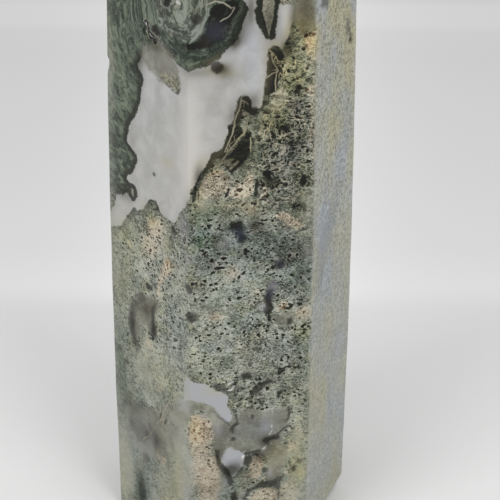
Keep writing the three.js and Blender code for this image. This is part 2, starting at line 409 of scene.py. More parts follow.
# Growth never has a ruled edge, so every place is read a little to one side of where it is.
WANDER = 0.2
WANDER_SIZE = 1.4
wander = WANDER * np.stack([rough(WANDER_SIZE, 1), rough(WANDER_SIZE, 2)], -1)
marks = np.stack([np.where(around > SEAM_AROUND, around - FULL_ROUND, around),
                  points[..., 2] - MARK_BASE], -1)
plain_marks = marks
marks = marks + wander


def to_line(start, end):
    """Distance in mm from every place to a straight line between two points."""
    side = end - start
    along = np.clip(((marks - start) @ side) / (side @ side + TINY), 0, 1)
    return np.linalg.norm(marks - start - along[..., None] * side, axis=-1)


def patch(*outline):
    """Depth in mm inside a closed outline, and less than 0 outside it: the distance to the
    nearest side, with its sign from how many sides a level line crosses."""
    starts = np.array(outline, float)
    nearest = np.full((rows, columns), FAR_AWAY)
    within = np.zeros((rows, columns), bool)
    for start, end in zip(starts, np.roll(starts, -1, 0)):
        nearest = np.minimum(nearest, to_line(start, end))
        crossed = (start[1] > marks[..., 1]) != (end[1] > marks[..., 1])
        rise = (end[1] - start[1]) or TINY
        meets = start[0] + (marks[..., 1] - start[1]) * (end[0] - start[0]) / rise
        within ^= crossed & (marks[..., 0] < meets)
    return np.where(within, nearest, -nearest)


def strand(width, *path):
    """Depth in mm inside a strand of that width along a path of points."""
    stops = np.array(path, float)
    nearest = np.full((rows, columns), FAR_AWAY)
    for start, end in zip(stops[:-1], stops[1:]):
        nearest = np.minimum(nearest, to_line(start, end))
    return width / 2 - nearest


def spot(across, up, radius):
    """Depth in mm inside a round spot."""
    return radius - np.linalg.norm(marks - (across, up), axis=-1)


def string(*path):
    """Distance in mm to a thin string, and the same with a sign for the side of it."""
    stops = np.array(path, float)
    nearest = np.full((rows, columns), FAR_AWAY)
    signed = nearest.copy()
    for start, end in zip(stops[:-1], stops[1:]):
        away = to_line(start, end)
        side = (end - start) / np.linalg.norm(end - start)
        across = (marks[..., 0] - start[0]) * side[1] - (marks[..., 1] - start[1]) * side[0]
        signed = np.where(away < nearest, across, signed)
        nearest = np.minimum(nearest, away)
    return nearest, signed


def glow(across, up, half_width, half_height, strength=1.0):
    """A soft patch that fades as a bell curve to both sides and up and down."""
    gap = (plain_marks - (across, up)) / (half_width, half_height)
    return strength * np.exp(-(gap ** 2).sum(-1))


def deepest(*depths):
    """The greatest depth of some growths at every place."""
    return np.max(depths, axis=0)


def spots(*places):
    """Depth in mm inside the nearest of some round spots, each across, up and radius."""
    return deepest(*[spot(*place) for place in places])


def glows(*places):
    """The sum of some soft patches, each across, up, half width, half height and strength."""
    return sum(glow(*place) for place in places)


def cover(depth, steepness):
    """1 inside a growth and 0 outside it, with an even step at its edge that is 1 / steepness mm wide."""
    return np.clip(0.5 + steepness * depth, 0, 1)


# Milky chalcedony: the big white zone over the front-left arris, the strips beside the hanging
# drip and three bluish pieces low down.
milk = deepest(
    patch((6.6, 58.3), (6.1, 57.7), (5.6, 56.9), (5.4, 56.7), (5.6, 56.4), (6.2, 55.9), (6.4, 55.4),
          (6.3, 54.8), (6, 54.4), (5.9, 52.9), (5.6, 52.4), (5.2, 51.6), (4.8, 50.9), (4.2, 50),
          (3.7, 49.2), (3.5, 48.6), (3.3, 47.8), (3.3, 47.5), (3.7, 47.2), (4.4, 46.8), (5, 46.4),
          (5.2, 45.8), (5.1, 45.3), (4.7, 44.6), (4.2, 43.8), (3.7, 43.5), (3.3, 43.5), (3.2, 43),
          (3.6, 42.6), (4.3, 42.5), (4.9, 42.2), (5.1, 41.6), (5.1, 41), (4.7, 40.5), (4.1, 40.4),
          (3.6, 40.9), (3.5, 41.4), (3.1, 41.1), (2.4, 40.6), (1.4, 40.2), (1.1, 39), (0.3, 38.2),
          (-0.5, 37.8), (-0.5, 36.1), (0.1, 36.1), (1.3, 36.4), (2.5, 37.3), (3.2, 38.3), (4, 39.5),
          (4.3, 39.9), (5, 39.6), (5.9, 40.2), (6.4, 40.9), (7, 41.6), (7.5, 41.9), (8.3, 42),
          (8.8, 41.5), (9.2, 41), (9.8, 40.6), (10.7, 40.4), (11.4, 40.2), (12, 40.8), (12.3, 41.7),
          (12.9, 42.6), (13.4, 43.1), (13.7, 43.7), (14.1, 44.4), (14.3, 44.9), (14.6, 45.4),
          (14.8, 45.9), (15.1, 46.6), (15.4, 47.1), (15.9, 47.6), (16.2, 48), (16.4, 48.6),
          (16.5, 49.1), (16.9, 49.4), (17.5, 49.5), (17.9, 49.9), (18.1, 50.5), (18.4, 51.4),
          (18.3, 52.1), (18.9, 52.5), (19, 53.6), (19.2, 54.4), (19.3, 55), (19.6, 55.4), (20.1, 55.6),
          (20.6, 55.3), (20.8, 54.9), (20.9, 54.4), (21.1, 54.1), (21.4, 54.3), (21.8, 54.1),
          (22, 54.1), (22.1, 55), (22.2, 55.6), (22.3, 56.4), (22.6, 57.4), (22.7, 58.4), (22.6, 58.8),
          (22.9, 59.2), (22.8, 59.6), (22.7, 60.1), (23, 60.6), (23.5, 60.8), (24.1, 60.5),
          (24.4, 60.5), (24.7, 61.1), (25, 61.8), (25.3, 62.7), (25.6, 63.7), (25.6, 64.8),
          (24.9, 65.1), (24.2, 64.9), (23.8, 65.4), (23.9, 68), (19.4, 68), (19.6, 66.1), (19.8, 65.7),
          (20.4, 65.3), (20.7, 64.6), (20.4, 64.1), (20.1, 63.6), (19.9, 62.8), (19.6, 62.3),
          (19.4, 61.6), (18.9, 61.2), (18.6, 60.7), (18.1, 60.1), (17.4, 59.6), (16.6, 59.2),
          (16, 58.8), (15, 58.6), (14, 58.3), (13.2, 58.3), (12.6, 58.4), (12.1, 58.7), (11.9, 59),
          (11, 59.2), (10, 59.4), (8.7, 59.4), (7.6, 59.2)),
    patch((13.1, 22.5), (14, 21.8), (15, 21.5), (16, 21.1), (16.8, 20.6), (17.6, 20.3), (18.2, 19.8),
          (18.3, 19.1), (18.2, 18.5), (18.5, 17.7), (18.9, 17.1), (18.8, 16.4), (18.3, 16),
          (17.8, 16.3), (17.5, 16.9), (17, 17.6), (16.8, 18.4), (16, 19), (15, 19.4), (14.2, 19.3),
          (13.2, 19.2), (12.3, 18.6), (12.8, 19.5), (12.7, 20.1), (12.9, 20.9), (13.2, 21.7)),
    patch((17.4, 11.7), (17.9, 12.5), (18.3, 13), (18.8, 13.1), (19.4, 12.6), (20, 12), (20.4, 11.7),
          (20.35, 11.2), (20.1, 10.5), (19.8, 10), (19.4, 9.7), (19, 9), (18.7, 9.2), (18.5, 9.8),
          (18.1, 10.5), (17.7, 11)),
    patch((22.1, 12.1), (22.2, 12.5), (22.7, 12.8), (23.4, 13.1), (23.3, 12.5), (23.1, 12),
          (22.6, 11.6)))
drip = patch((21.3, 68), (21.4, 66), (21.5, 64.9), (21.4, 64.2), (21.4, 63.4), (21.7, 62.9), (22, 62.6),
             (22.1, 61.9), (22.4, 61.6), (23, 61.4), (23.4, 61.6), (23.6, 62.1), (23.5, 62.8),
             (23.6, 63.8), (23.7, 64.5), (23.9, 65.2), (24, 66), (24, 68))
milk = np.minimum(milk, -drip)

# Smoke: smooth grey-brown chalcedony that the moss never reached.
smoke = deepest(
    0.7 * patch((7, 57.3), (6.2, 57.9), (6.5, 59), (8.2, 60), (9.4, 60.2), (11, 59.6), (11.9, 58.7),
                (12.4, 57.4), (12.4, 56.2), (11.8, 55.8), (10.6, 56), (9.4, 56.2), (8.2, 56.8)),
    patch((5.6, 29.4), (6.4, 29.8), (7.2, 30), (8.4, 29.5), (8.3, 28.8), (7.9, 28), (7.6, 27.3),
          (8, 26.3), (8.1, 25.3), (7.7, 24.9), (7, 25.6), (6, 25.8), (5, 25.6), (4.6, 24.6),
          (4.5, 23.3), (4.1, 22.6), (3.7, 23.2), (3.3, 24.4), (3.3, 25.6), (3.6, 26.7), (4.1, 27.6),
          (4.7, 28.6)),
    patch((13.2, 19.1), (14.2, 19.2), (15, 19.3), (16, 18.9), (16.7, 18.3), (17, 17.5), (17.5, 16.8),
          (17.8, 16.2), (18.3, 15.9), (18.3, 15), (18.1, 14), (17.6, 13.4), (17, 13.2), (16.9, 14.5),
          (16.5, 15.7), (16.4, 16.8), (15.9, 17.3), (15.8, 18.2), (15, 18.4), (14.5, 18), (13.8, 17.4),
          (12.7, 16.2), (11.6, 16.4), (12, 17.5), (12.4, 18.6)),
    patch((2, 13.5), (3.5, 14), (5.5, 14.8), (8, 15.4), (10, 17), (12, 17.4), (12.6, 15.5), (12, 12),
          (10.8, 10.6), (9.2, 10.3), (7.5, 9.6), (6, 8.2), (5.2, 7.3), (4, 8.3), (2.8, 9.2), (2, 10.5)),
    patch((18.4, 15.6), (19.4, 16.6), (20.2, 17.6), (21.4, 17.7), (22.4, 17.2), (23.4, 17.1),
          (24.6, 17.6), (25.7, 17.3), (25.8, 16), (25.6, 15.2), (25, 14.5), (24.6, 13.4), (25.3, 12.6),
          (25.5, 11.4), (25.2, 10.3), (24.6, 9.6), (24.3, 8.6), (23.2, 8.4), (22.9, 9.4), (23.2, 10.4),
          (22.9, 11.4), (22.2, 12), (20.9, 12.1), (19.6, 12.5), (18.6, 13.2), (17.4, 13.4),
          (17.2, 14.6)),
    patch((16.6, 13.8), (17.6, 14), (18.8, 13.7), (18, 12.7), (17.4, 11.7), (16.9, 12.2)),
    patch((23.5, 29.2), (24.4, 29.4), (25.5, 29.4), (26, 28.8), (25.5, 28.1), (24.2, 28.2)),
    patch((25.6, 68), (25.6, 63.5), (26.2, 61.8), (26.9, 61.6), (27.5, 63), (27.7, 65), (27.8, 68)),
    patch((25.7, 64), (26.3, 62.4), (27.4, 62.2), (28, 63), (28, 68), (25.8, 68)))

# Shade: clear grey or brown stone in front of something dark, with the curl of growth that hooks
# into the milk.
curl = patch((3.8, 42.2), (4.4, 42.2), (4.8, 41.6), (4.8, 41), (4.5, 40.7), (4.1, 40.9), (3.8, 41.5))
shade = deepest(
    np.minimum(0.5 * strand(0.9, (5.6, 29.3), (4.6, 28.5), (3.9, 27), (3.55, 25.5), (3.6, 24),
                            (4, 22.9), (4.4, 22.2)), 0.02),
    0.5 * patch((6.8, 28.4), (7.6, 29.4), (8.2, 29.3), (8, 28.2), (8.1, 26.6), (8.1, 24.9), (7.6, 24.7),
                (7.2, 25.4), (7, 26.2), (7.1, 27.4)) - 0.08,
    patch((6.2, 30.8), (6.4, 31.4), (7.3, 31.1), (7.4, 30.7), (6.8, 30.5)),
    patch((13.3, 29.4), (13.2, 30.2), (14, 30.6), (14.8, 30.4), (14.9, 29.6), (14.2, 29.2)),
    patch((21.1, 19.3), (21.2, 20), (21.7, 20.9), (22.4, 21.3), (23.1, 21.7), (24, 21.2), (23.7, 21.1),
          (22.9, 20.9), (22.7, 20.3), (22, 19.7), (21.4, 19.4)),
    patch((21.2, 7.2), (22.2, 7.9), (23.2, 8.2), (24.2, 8.1), (24.1, 7.3), (22.8, 7.1)),
    patch((16.8, 13), (17.4, 12.8), (17.3, 11.8), (17.5, 11), (18, 10.3), (18.5, 9.6), (18.8, 8.9),
          (18.9, 8.2), (18.6, 7.6), (18.1, 8.8), (17.6, 9.8), (17, 10.6), (16.8, 11.8)),
    patch((22.5, 10), (23.1, 9.9), (23.1, 9.2), (22.5, 9.2)),
    patch((24, 8), (24.3, 8.5), (25.2, 8.6), (24.8, 7.9), (24.9, 7.2), (24.5, 6.5), (24.2, 7)),
    patch((26.1, 8.9), (26.1, 9.8), (26.6, 9.9), (26.6, 9.1)),
    patch((20.4, 11.6), (21.2, 11.7), (21.2, 10.8), (20.9, 10.2), (20.3, 10.3), (20.3, 10.9)),
    patch((18.5, 15), (18.8, 15.8), (19.5, 16.5), (19.7, 16), (19.2, 15.5), (18.8, 14.8)),
    patch((21.2, 16.4), (21.2, 16.9), (21.5, 16.9), (21.5, 16.3)),
    patch((22.3, 13.2), (22.9, 13.9), (24, 14.3), (24.6, 14.2), (24.7, 13.5), (24.2, 13.1),
          (23.5, 13.2), (23.3, 12.6), (23, 13)),
    patch((18.7, 6.9), (19.3, 7), (19.5, 5.6), (18.8, 5.4)),
    patch((25.1, 28.9), (25.8, 28.9), (25.9, 28.3), (25.2, 28.2)),
    strand(0.4, (25.5, 17.3), (25.7, 16.6), (25.6, 15.9)),
    strand(0.3, (24.4, 14.3), (25, 14.9), (25.6, 15.1)),
    strand(0.4, (20.6, 11.9), (21.4, 12), (22.1, 12)),
    strand(0.4, (20.2, 5.7), (20.5, 6.4), (21, 7), (22.8, 7.5), (24, 7.7)),
    strand(0.3, (24.5, 6.8), (24.5, 5.6)), strand(0.3, (8.2, 14.7), (8.6, 15.4)),
    strand(0.35, (9.1, 14.4), (9.5, 15)), strand(0.3, (16.8, 17.8), (17.4, 16.9), (18.4, 16)),
    strand(0.3, (19.4, 18), (19.3, 17), (19.5, 16.2)),
    strand(0.34, (10.9, 62.5), (12.4, 62.3), (14.3, 62.5)),
    strand(0.24, (11.4, 61.85), (12.8, 61.65), (14.2, 61.8)), 0.17 - np.abs(curl),
    strand(0.25, (9.5, 56.5), (10.4, 55.9), (11.3, 55.55), (12.1, 55.35), (12.5, 55.9)),
    spots((14.9, 64.2, 0.6), (16.9, 58.8, 0.6), (17.25, 58.6, 0.55), (12.2, 55.6, 0.35),
          (19.9, 18.6, 0.25), (22.3, 18.5, 0.35), (21.2, 17.9, 0.25), (18.9, 14, 0.25),
          (27, 10.3, 0.25), (8.2, 45, 0.26), (13.7, 33.3, 0.5), (11.5, 39.4, 0.4), (2.6, 19.6, 0.4),
          (21.7, 35.4, 0.25)))

# Deep pockets: clear, dark chalcedony with nothing pale close under the surface.
deep = deepest(
    patch((14.2, 61.3), (15.2, 61.6), (15.8, 62.7), (16.1, 63.9), (16.3, 64.9), (16.6, 65.4),
          (18, 65.9), (19.5, 65.6), (19.6, 64.8), (18.9, 64), (18.5, 62.8), (18, 61.7), (17, 61.1),
          (15.6, 60.7), (14.3, 60.6), (13, 60.9), (13.3, 61.2)), np.minimum(drip, 1.2),
    patch((18, 48.4), (18.5, 48.9), (19, 49.4), (19.5, 50.2), (20, 50.9), (20.5, 51.7), (20.9, 51.1),
          (20.8, 50.2), (20.9, 49.3), (21.2, 49.2), (20.7, 48.4), (20.1, 47.7), (19.4, 47),
          (18.8, 46.4), (18.4, 47), (18, 47.4), (18.1, 47.9)),
    patch((18.2, 51.9), (18.9, 52.4), (19.6, 52.3), (20.2, 51.6), (19.6, 50.8), (19, 49.8), (18.4, 49),
          (17.9, 48.5), (17.3, 48.7), (16.9, 48.6), (16.6, 48.2), (17, 47.9), (16.5, 47.5),
          (15.9, 46.9), (15.2, 46.3), (14.9, 45.7), (15.1, 45), (15, 44.2), (14.6, 43.8), (14.2, 43.9),
          (14.4, 44.8), (14.7, 45.7), (15.2, 46.6), (15.8, 47.4), (16.3, 48), (16.4, 48.9),
          (16.9, 49.3), (17.6, 49.4), (18, 50), (18.3, 51)),
    patch((19, 52.7), (19.1, 53.6), (19.3, 54.6), (19.6, 55.3), (20.1, 55.5), (20.6, 55.2),
          (20.8, 54.7), (21.1, 54.1), (21.7, 54), (21.7, 53.5), (21.2, 53.1), (20.6, 53.3),
          (19.9, 53.1), (19.7, 52.6), (19.3, 52.3)),
    patch((22.3, 55.3), (22.4, 56.4), (22.6, 57.4), (22.8, 58.4), (22.9, 59.3), (22.8, 60.1),
          (23.1, 60.5), (23.8, 60.5), (24.3, 60.1), (24.6, 59.4), (24.8, 58.8), (24.3, 58.3),
          (24.4, 57.6), (24.1, 57.1), (24, 56.4), (23.5, 55.7), (22.9, 55.4)),
    patch((21.2, 43.7), (21.3, 44.6), (21.3, 45.3), (21.6, 45.8), (22, 45.6), (21.9, 44.9),
          (21.8, 44.4), (21.7, 43.7)),
    patch((26.3, 44.9), (26.4, 45.8), (26.9, 46.3), (27.1, 45.8), (27.1, 45), (26.7, 44.7)),
    patch((9.9, 64.6), (10, 66), (11, 66.5), (11.2, 65.4), (10.6, 64.6)),
    patch((25.8, 56.2), (26, 56.4), (26.4, 56.3), (26.6, 55.9), (26.4, 55.5), (26.2, 55.3), (26, 55.6),
          (25.8, 55.9)),
    patch((24, 51.5), (24.6, 51.8), (25, 52), (25.3, 51.8), (25.1, 51.3), (24.8, 51.1), (24.2, 51.2)),
    patch((24.5, 50), (25.1, 50.1), (25.6, 50), (25.5, 49.6), (25.2, 49.5), (25, 49.8)),
    patch((18.3, 40.5), (18.7, 41), (19.4, 41.1), (20, 40.9), (20.3, 40.3), (20.2, 39.6), (20.4, 39),
          (20, 38.4), (19.5, 38.5), (19.3, 39.3), (18.9, 39.8), (18.4, 40.1)),
    patch((22.1, 46.8), (22.5, 47), (23, 46.7), (23.2, 46), (22.9, 45.6), (22.3, 45.9)),
    strand(0.3, (25.6, 42.3), (26.3, 42.5), (26.9, 42.2), (27, 41.6)),
    patch((22.9, 33.6), (23.4, 33.5), (23.9, 33), (23.9, 32.4), (23.7, 31.9), (23.8, 31.4), (23.4, 31),
          (23.4, 30.4), (23.2, 30), (23.3, 29.2), (23.3, 28.6), (22.9, 28.5), (22.9, 29.4), (22.9, 30),
          (22.6, 30.6), (22.4, 31.2), (22.6, 31.8), (22.8, 32.4), (22.9, 33)),
    patch((23.6, 35.3), (23.7, 36), (24.3, 36.2), (24.9, 36), (24.9, 35.3), (24.2, 35.1)),
    patch((19.8, 22.3), (20.6, 22.5), (21.1, 22.2), (21.1, 21.6), (20.3, 21.4), (19.8, 21.7)),
    patch((16.6, 21.4), (17.2, 21.2), (18, 20.8), (18.6, 20.2), (18.3, 19.9), (17.6, 20.3),
          (16.8, 20.7)), patch((24.2, 22), (24.2, 22.8), (25, 23), (25.2, 22.4), (24.8, 22.1)),
    patch((24.2, 18.9), (24.3, 19.7), (24.9, 19.8), (24.9, 19.1), (24.5, 18.8)),
    patch((23.1, 13.5), (23.6, 13.9), (24.3, 13.9), (24.4, 13.6), (23.8, 13.3)),
    strand(0.4, (18, 10.2), (18.6, 9.3)), strand(1.2, (23.4, 33), (23, 31.8), (23.1, 30.4)),
    strand(0.3, (19.2, 20.8), (19.4, 20.1), (19.2, 19.4)),
    strand(0.25, (25, 22.8), (25.7, 23.1), (26.3, 23.2)),
    spots((20.1, 20.3, 0.25), (18.7, 20.75, 0.18), (8.4, 61.5, 0.5), (8.9, 61.2, 0.4)))

# Holes: the dark openings of the moss, sharp and with a pale rim.
holes = deepest(
    strand(0.28, (24.3, 58.8), (24.45, 58.35)), strand(0.2, (24.85, 58.15), (24.75, 57.75)),
    strand(0.2, (25.2, 54.4), (25.8, 54.55)), strand(0.26, (23.85, 53.9), (24.15, 54.15)),
    strand(0.25, (26.8, 53.7), (27.5, 53.9)), strand(0.14, (22.35, 53.1), (22.25, 52.7)),
    strand(0.2, (22.85, 52.3), (23.1, 52.45)), strand(0.2, (25.8, 52.7), (26.3, 52.5), (26.8, 52.55)),
    strand(0.15, (22.8, 52), (22.8, 51.5)), strand(0.24, (22.5, 51.2), (22.4, 50.6)),
    strand(0.14, (21.9, 51.6), (21.8, 51.1)), strand(0.14, (27.5, 50.8), (27, 50.1)),
    strand(0.24, (23.7, 49.65), (24.1, 49.3)), strand(0.18, (24.9, 49.5), (24.95, 48.9), (24.75, 48.6)),
    strand(0.14, (22.9, 48.4), (22.5, 48.2)), strand(0.2, (22.3, 47.1), (22.7, 47.3), (23.1, 47.2)),
    strand(0.22, (23.5, 46.9), (23.9, 46.95)), strand(0.24, (23.9, 45.5), (24.2, 45.7)),
    strand(0.14, (25.4, 45.1), (25.9, 45.25)), strand(0.2, (23.2, 44.8), (23.9, 45)),
    strand(0.28, (19.1, 45.9), (19.5, 45.7)), strand(0.3, (21.1, 43.1), (21.6, 43)),
    strand(0.2, (19.3, 43.2), (19.7, 43.5)), strand(0.34, (19.9, 42.9), (20.3, 43.2)),
    strand(0.16, (18.4, 43.2), (18.9, 43.1)), strand(0.16, (15.8, 45.4), (16.2, 45.6)),
    strand(0.14, (16.8, 46.3), (17.2, 46.5)), strand(0.3, (19.1, 42), (19.6, 41.7)),
    strand(0.2, (22.1, 41.5), (22.8, 41.8)), strand(0.2, (22.9, 43), (23.6, 43)),
    strand(0.3, (17, 35.8), (17.9, 35.6)), strand(0.2, (11.75, 38), (11.8, 37.2)),
    strand(0.16, (11.4, 35.4), (11.7, 35)), strand(0.12, (10.2, 34.6), (10.5, 34.2)),
    strand(0.22, (11.2, 25.7), (11.7, 26.1)), strand(0.2, (19.3, 26.9), (19.8, 26.4)),
    strand(0.14, (8.6, 29.9), (9.4, 29.8)), strand(0.14, (17.3, 44.2), (17.6, 44.2)),
    strand(0.7, (6.9, 61.9), (7.2, 61.2), (7.7, 60.6), (8.5, 60.3)),
    strand(0.24, (18.5, 46.2), (18.4, 45.4), (18.2, 44.5), (18, 43.9)),
    strand(0.18, (17.9, 43), (18.2, 42.5)), strand(0.3, (21.9, 45.6), (22.2, 45.2), (22, 44.6)),
    strand(0.24, (15.2, 43.6), (15, 44.2), (15.1, 44.8)), strand(0.3, (22, 43.4), (22.6, 43.3)),
    strand(0.3, (24, 45.4), (24.6, 45.3), (25, 45)), strand(0.24, (24, 43.4), (25, 43.3), (25.6, 43.2)),
    strand(0.2, (20.4, 39.6), (21, 39.8), (21.6, 39.6)), strand(0.3, (15.4, 37.4), (16, 37.8)),
    strand(0.24, (26.4, 44), (26.9, 43.6)),
    spots((17.3, 43.4, 0.14), (17.4, 46.4, 0.16), (15.7, 45.9, 0.12), (24.85, 58.6, 0.08),
          (25.6, 58.65, 0.16), (26.35, 58.8, 0.14), (27.2, 58.5, 0.14), (27.1, 58.1, 0.22),
          (26.15, 57.3, 0.16), (24.55, 57.4, 0.1), (26.1, 56.9, 0.18), (26.6, 56.5, 0.13),
          (27.2, 55.3, 0.12), (26.8, 55, 0.18), (25.9, 55, 0.13), (25.5, 55, 0.1), (25.1, 54.9, 0.15),
          (26.35, 54.4, 0.2), (24.6, 54.9, 0.1), (24.6, 54.15, 0.1), (25.7, 53.9, 0.12),
          (25.1, 53.5, 0.12), (25.4, 53.2, 0.15), (26.55, 53.3, 0.12), (27.6, 53.2, 0.08),
          (26, 52.6, 0.18), (26.7, 51.85, 0.1), (24, 50.5, 0.1), (24.5, 50.9, 0.14),
          (25.65, 50.85, 0.12), (26.35, 50.7, 0.15), (27.5, 50.1, 0.1), (26.2, 49.3, 0.12),
          (24.4, 48.4, 0.13), (27.1, 49.6, 0.14), (27.5, 49.5, 0.12), (27.3, 48.8, 0.22),
          (26.4, 48.8, 0.18), (26.85, 48.3, 0.18), (22.4, 48.8, 0.12), (23.2, 47.4, 0.1),
          (21.9, 47.4, 0.1), (20.6, 47.4, 0.1), (21.1, 47.4, 0.1), (24.5, 47.5, 0.18),
          (25.5, 47.3, 0.13), (26.3, 47.2, 0.18), (27.8, 45.7, 0.12), (20, 45.6, 0.16), (20, 45.2, 0.1),
          (25, 45.3, 0.1), (23.2, 44.6, 0.16), (23.9, 44.9, 0.14), (22.1, 44.7, 0.12),
          (22.3, 44.1, 0.1), (24.6, 41.6, 0.14), (25.2, 41, 0.1), (26, 40.3, 0.1), (25.6, 39.9, 0.12),
          (25.8, 40.1, 0.08), (16.5, 36.6, 0.28), (16.8, 36.3, 0.15), (17.8, 36.8, 0.28),
          (18.2, 36.7, 0.12), (25.2, 36.5, 0.26), (26.2, 36.6, 0.26), (19, 35.2, 0.18),
          (19.6, 34.5, 0.2), (18.7, 34.2, 0.09), (18.7, 33.9, 0.12), (21.5, 32.6, 0.12),
          (21.4, 33, 0.09), (21.8, 32.5, 0.1), (15.3, 33.6, 0.1), (16, 34.7, 0.12), (22.6, 35, 0.12),
          (22.6, 34.5, 0.1), (20.8, 36, 0.12), (21.7, 35.4, 0.18), (20.8, 31.3, 0.14),
          (21.1, 31.1, 0.14), (18.2, 30.4, 0.1), (17.6, 29.1, 0.12), (17.5, 29.7, 0.1),
          (15.9, 28.3, 0.14), (15.4, 27.5, 0.1), (16.1, 27.1, 0.1), (22, 27.2, 0.2), (24, 28.1, 0.13),
          (25.8, 27.7, 0.2), (26.7, 28.8, 0.14), (26.3, 28.5, 0.1), (24.4, 30.4, 0.12),
          (24, 26.5, 0.26), (20.2, 27.7, 0.18), (26.8, 31.9, 0.12), (26.6, 34, 0.2), (7.6, 38.2, 0.13),
          (10.3, 36.4, 0.18), (12.1, 36.6, 0.16), (13.2, 36.2, 0.2), (12.9, 34.2, 0.15),
          (9.7, 33.6, 0.15), (9.2, 34.4, 0.14), (8.7, 33.6, 0.16), (7.4, 33.2, 0.12), (6.3, 32.8, 0.14),
          (2.4, 33, 0.14), (3.3, 33, 0.1), (1.4, 31.4, 0.12), (2.9, 31.3, 0.14), (14.4, 33.9, 0.22),
          (14.9, 34, 0.16), (9.9, 28.6, 0.18), (9.5, 28.2, 0.14), (10.4, 27.2, 0.12),
          (12.2, 30.2, 0.18), (9.3, 24.3, 0.16), (7.7, 23.8, 0.24), (13.4, 27.6, 0.13),
          (12.6, 27.7, 0.13), (16.1, 16.5, 0.14), (14.85, 15.8, 0.1), (15.1, 13.2, 0.12),
          (16.4, 15.2, 0.1), (15, 9.8, 0.13), (21.8, 11.2, 0.14), (22.4, 11.3, 0.12), (21.8, 8.9, 0.12),
          (22.6, 8.4, 0.12), (21.4, 8, 0.2), (25.6, 14.8, 0.1), (27.1, 10.9, 0.16)))

# A pale speck that lies over the milk.
specks = deepest(
    patch((9.6, 57.1), (10.4, 57.2), (11.2, 57.1), (12, 57.4), (12.5, 57), (12.6, 56.4), (12.4, 55.9),
          (12, 55.5), (11.5, 55.7), (10.6, 55.9), (9.9, 56.2), (9.4, 56.6)))

# Pale crystals: the core of the drip, the chip in the left face, whose pale line is a painted
# highlight, and bits that lie in the pockets.
crystal = deepest(
    patch((22.2, 68), (22.2, 64.6), (22.4, 63.3), (22.7, 62.2), (22.8, 61.7), (22.9, 62.3),
          (23.1, 63.3), (23.3, 64.6), (23.5, 68)),
    patch((4, 41.9), (4.4, 41.8), (4.6, 41.3), (4.5, 40.9), (4.2, 41.1), (4.1, 41.5)),
    patch((19.9, 54), (20.4, 53.7), (21.1, 53.2), (20.9, 53), (20.2, 53.2), (19.8, 53.3)),
    strand(0.24, (6.8, 61.6), (7.2, 60.9), (7.6, 60.5)), strand(0.2, (7.6, 60.5), (8.3, 60.3)),
    strand(0.3, (17.3, 47.7), (18, 48.1), (18.9, 48.3)), strand(0.3, (19.4, 47.9), (18.6, 47.2)),
    strand(0.16, (24.7, 50.6), (25, 50.35), (25.35, 50.25)),
    strand(0.14, (24.2, 48.7), (24.1, 48.4), (24.3, 48.1)), strand(0.14, (24.3, 48.1), (24.6, 48.1)),
    strand(0.14, (23.4, 46.7), (23.7, 46.55), (24, 46.8)),
    strand(0.14, (26.5, 46.2), (26.3, 45.9), (26.2, 45.5)),
    strand(0.12, (26.1, 41.5), (26.5, 41.8), (26.7, 41.5)),
    strand(0.35, (24.4, 49.6), (24.8, 49.1), (24.4, 48.8)),
    spots((18.4, 47.8, 0.3), (12.4, 65.4, 0.4), (27.85, 46.7, 0.12), (23.2, 41.4, 0.15)))

# Glints: painted highlights on the broken edges of clear crystals and along the chip in the left face.
glint = deepest(
    patch((20, 11.8), (20.4, 11.7), (20.3, 11.2), (20.1, 11)),
    patch((22.4, 12.2), (22.7, 12.5), (23.2, 12.8), (22.8, 12.2)),
    strand(0.16, (23.5, 15.5), (23.65, 14.9), (23.4, 14.3)), strand(0.16, (20.1, 10.8), (19.8, 10.3)),
    strand(0.16, (18.1, 20.9), (18.5, 21.3), (19, 21.1), (19.1, 20.6), (18.8, 20.35), (18.3, 20.4)),
    strand(0.14, (9.9, 16.9), (10.5, 16.2)),
    strand(0.26, (6.85, 61.8), (7.1, 61.2), (7.6, 60.6), (8.3, 60.35)),
    spots((12.2, 65.5, 0.2), (12.7, 65.3, 0.16), (20, 53.9, 0.1)))

# Amber: holes in the moss that iron has stained.
amber = spots((27.3, 61.5, 0.3), (27.5, 61.9, 0.16), (10.5, 35.3, 0.26), (27.8, 9.2, 0.18))

# Green glass: dark green growth with flowing lines, round the pocket and down the left face,
# with the paler tuft that hangs over the pocket.
glass = deepest(
    patch((6.5, 63.5), (8.3, 61.3), (10, 60.6), (11.5, 59.8), (12.8, 58.4), (14, 58), (15, 58.6),
          (16.5, 59.5), (18, 60.3), (18.9, 61), (19.8, 62.2), (20.5, 63.6), (20.8, 65), (20.8, 66),
          (20.3, 67), (19.5, 68), (14, 68), (14, 64), (10, 64), (7.5, 64.8)),
    patch((-9, 41.2), (-1, 41), (1.5, 41.4), (3, 41.2), (6, 42), (6, 46), (5, 48), (6.5, 53), (7, 58),
          (8.5, 60), (9, 62.5), (9, 68), (-9, 68)),
    patch((-1, 22), (0.8, 22), (2, 20), (2, 14), (1.5, 12), (-1, 10)),
    patch((3, 4), (3.4, 4.6), (4.2, 5.2), (4.8, 5), (5.1, 4.2), (5.1, 3), (5, 1.8), (5.2, -1),
          (3.6, -1), (3.6, 1.6), (3.2, 3)))
tuft = patch((8.5, 62.4), (9.9, 62), (11.2, 61.6), (12.2, 61.5), (13, 61.4), (14, 61.5), (14.7, 61.5),
             (15.2, 61.8), (15.7, 62.7), (16, 63.9), (16.3, 64.9), (16.6, 65.4), (16.6, 68), (8.5, 68),
             (8.3, 65.5), (8.8, 64))

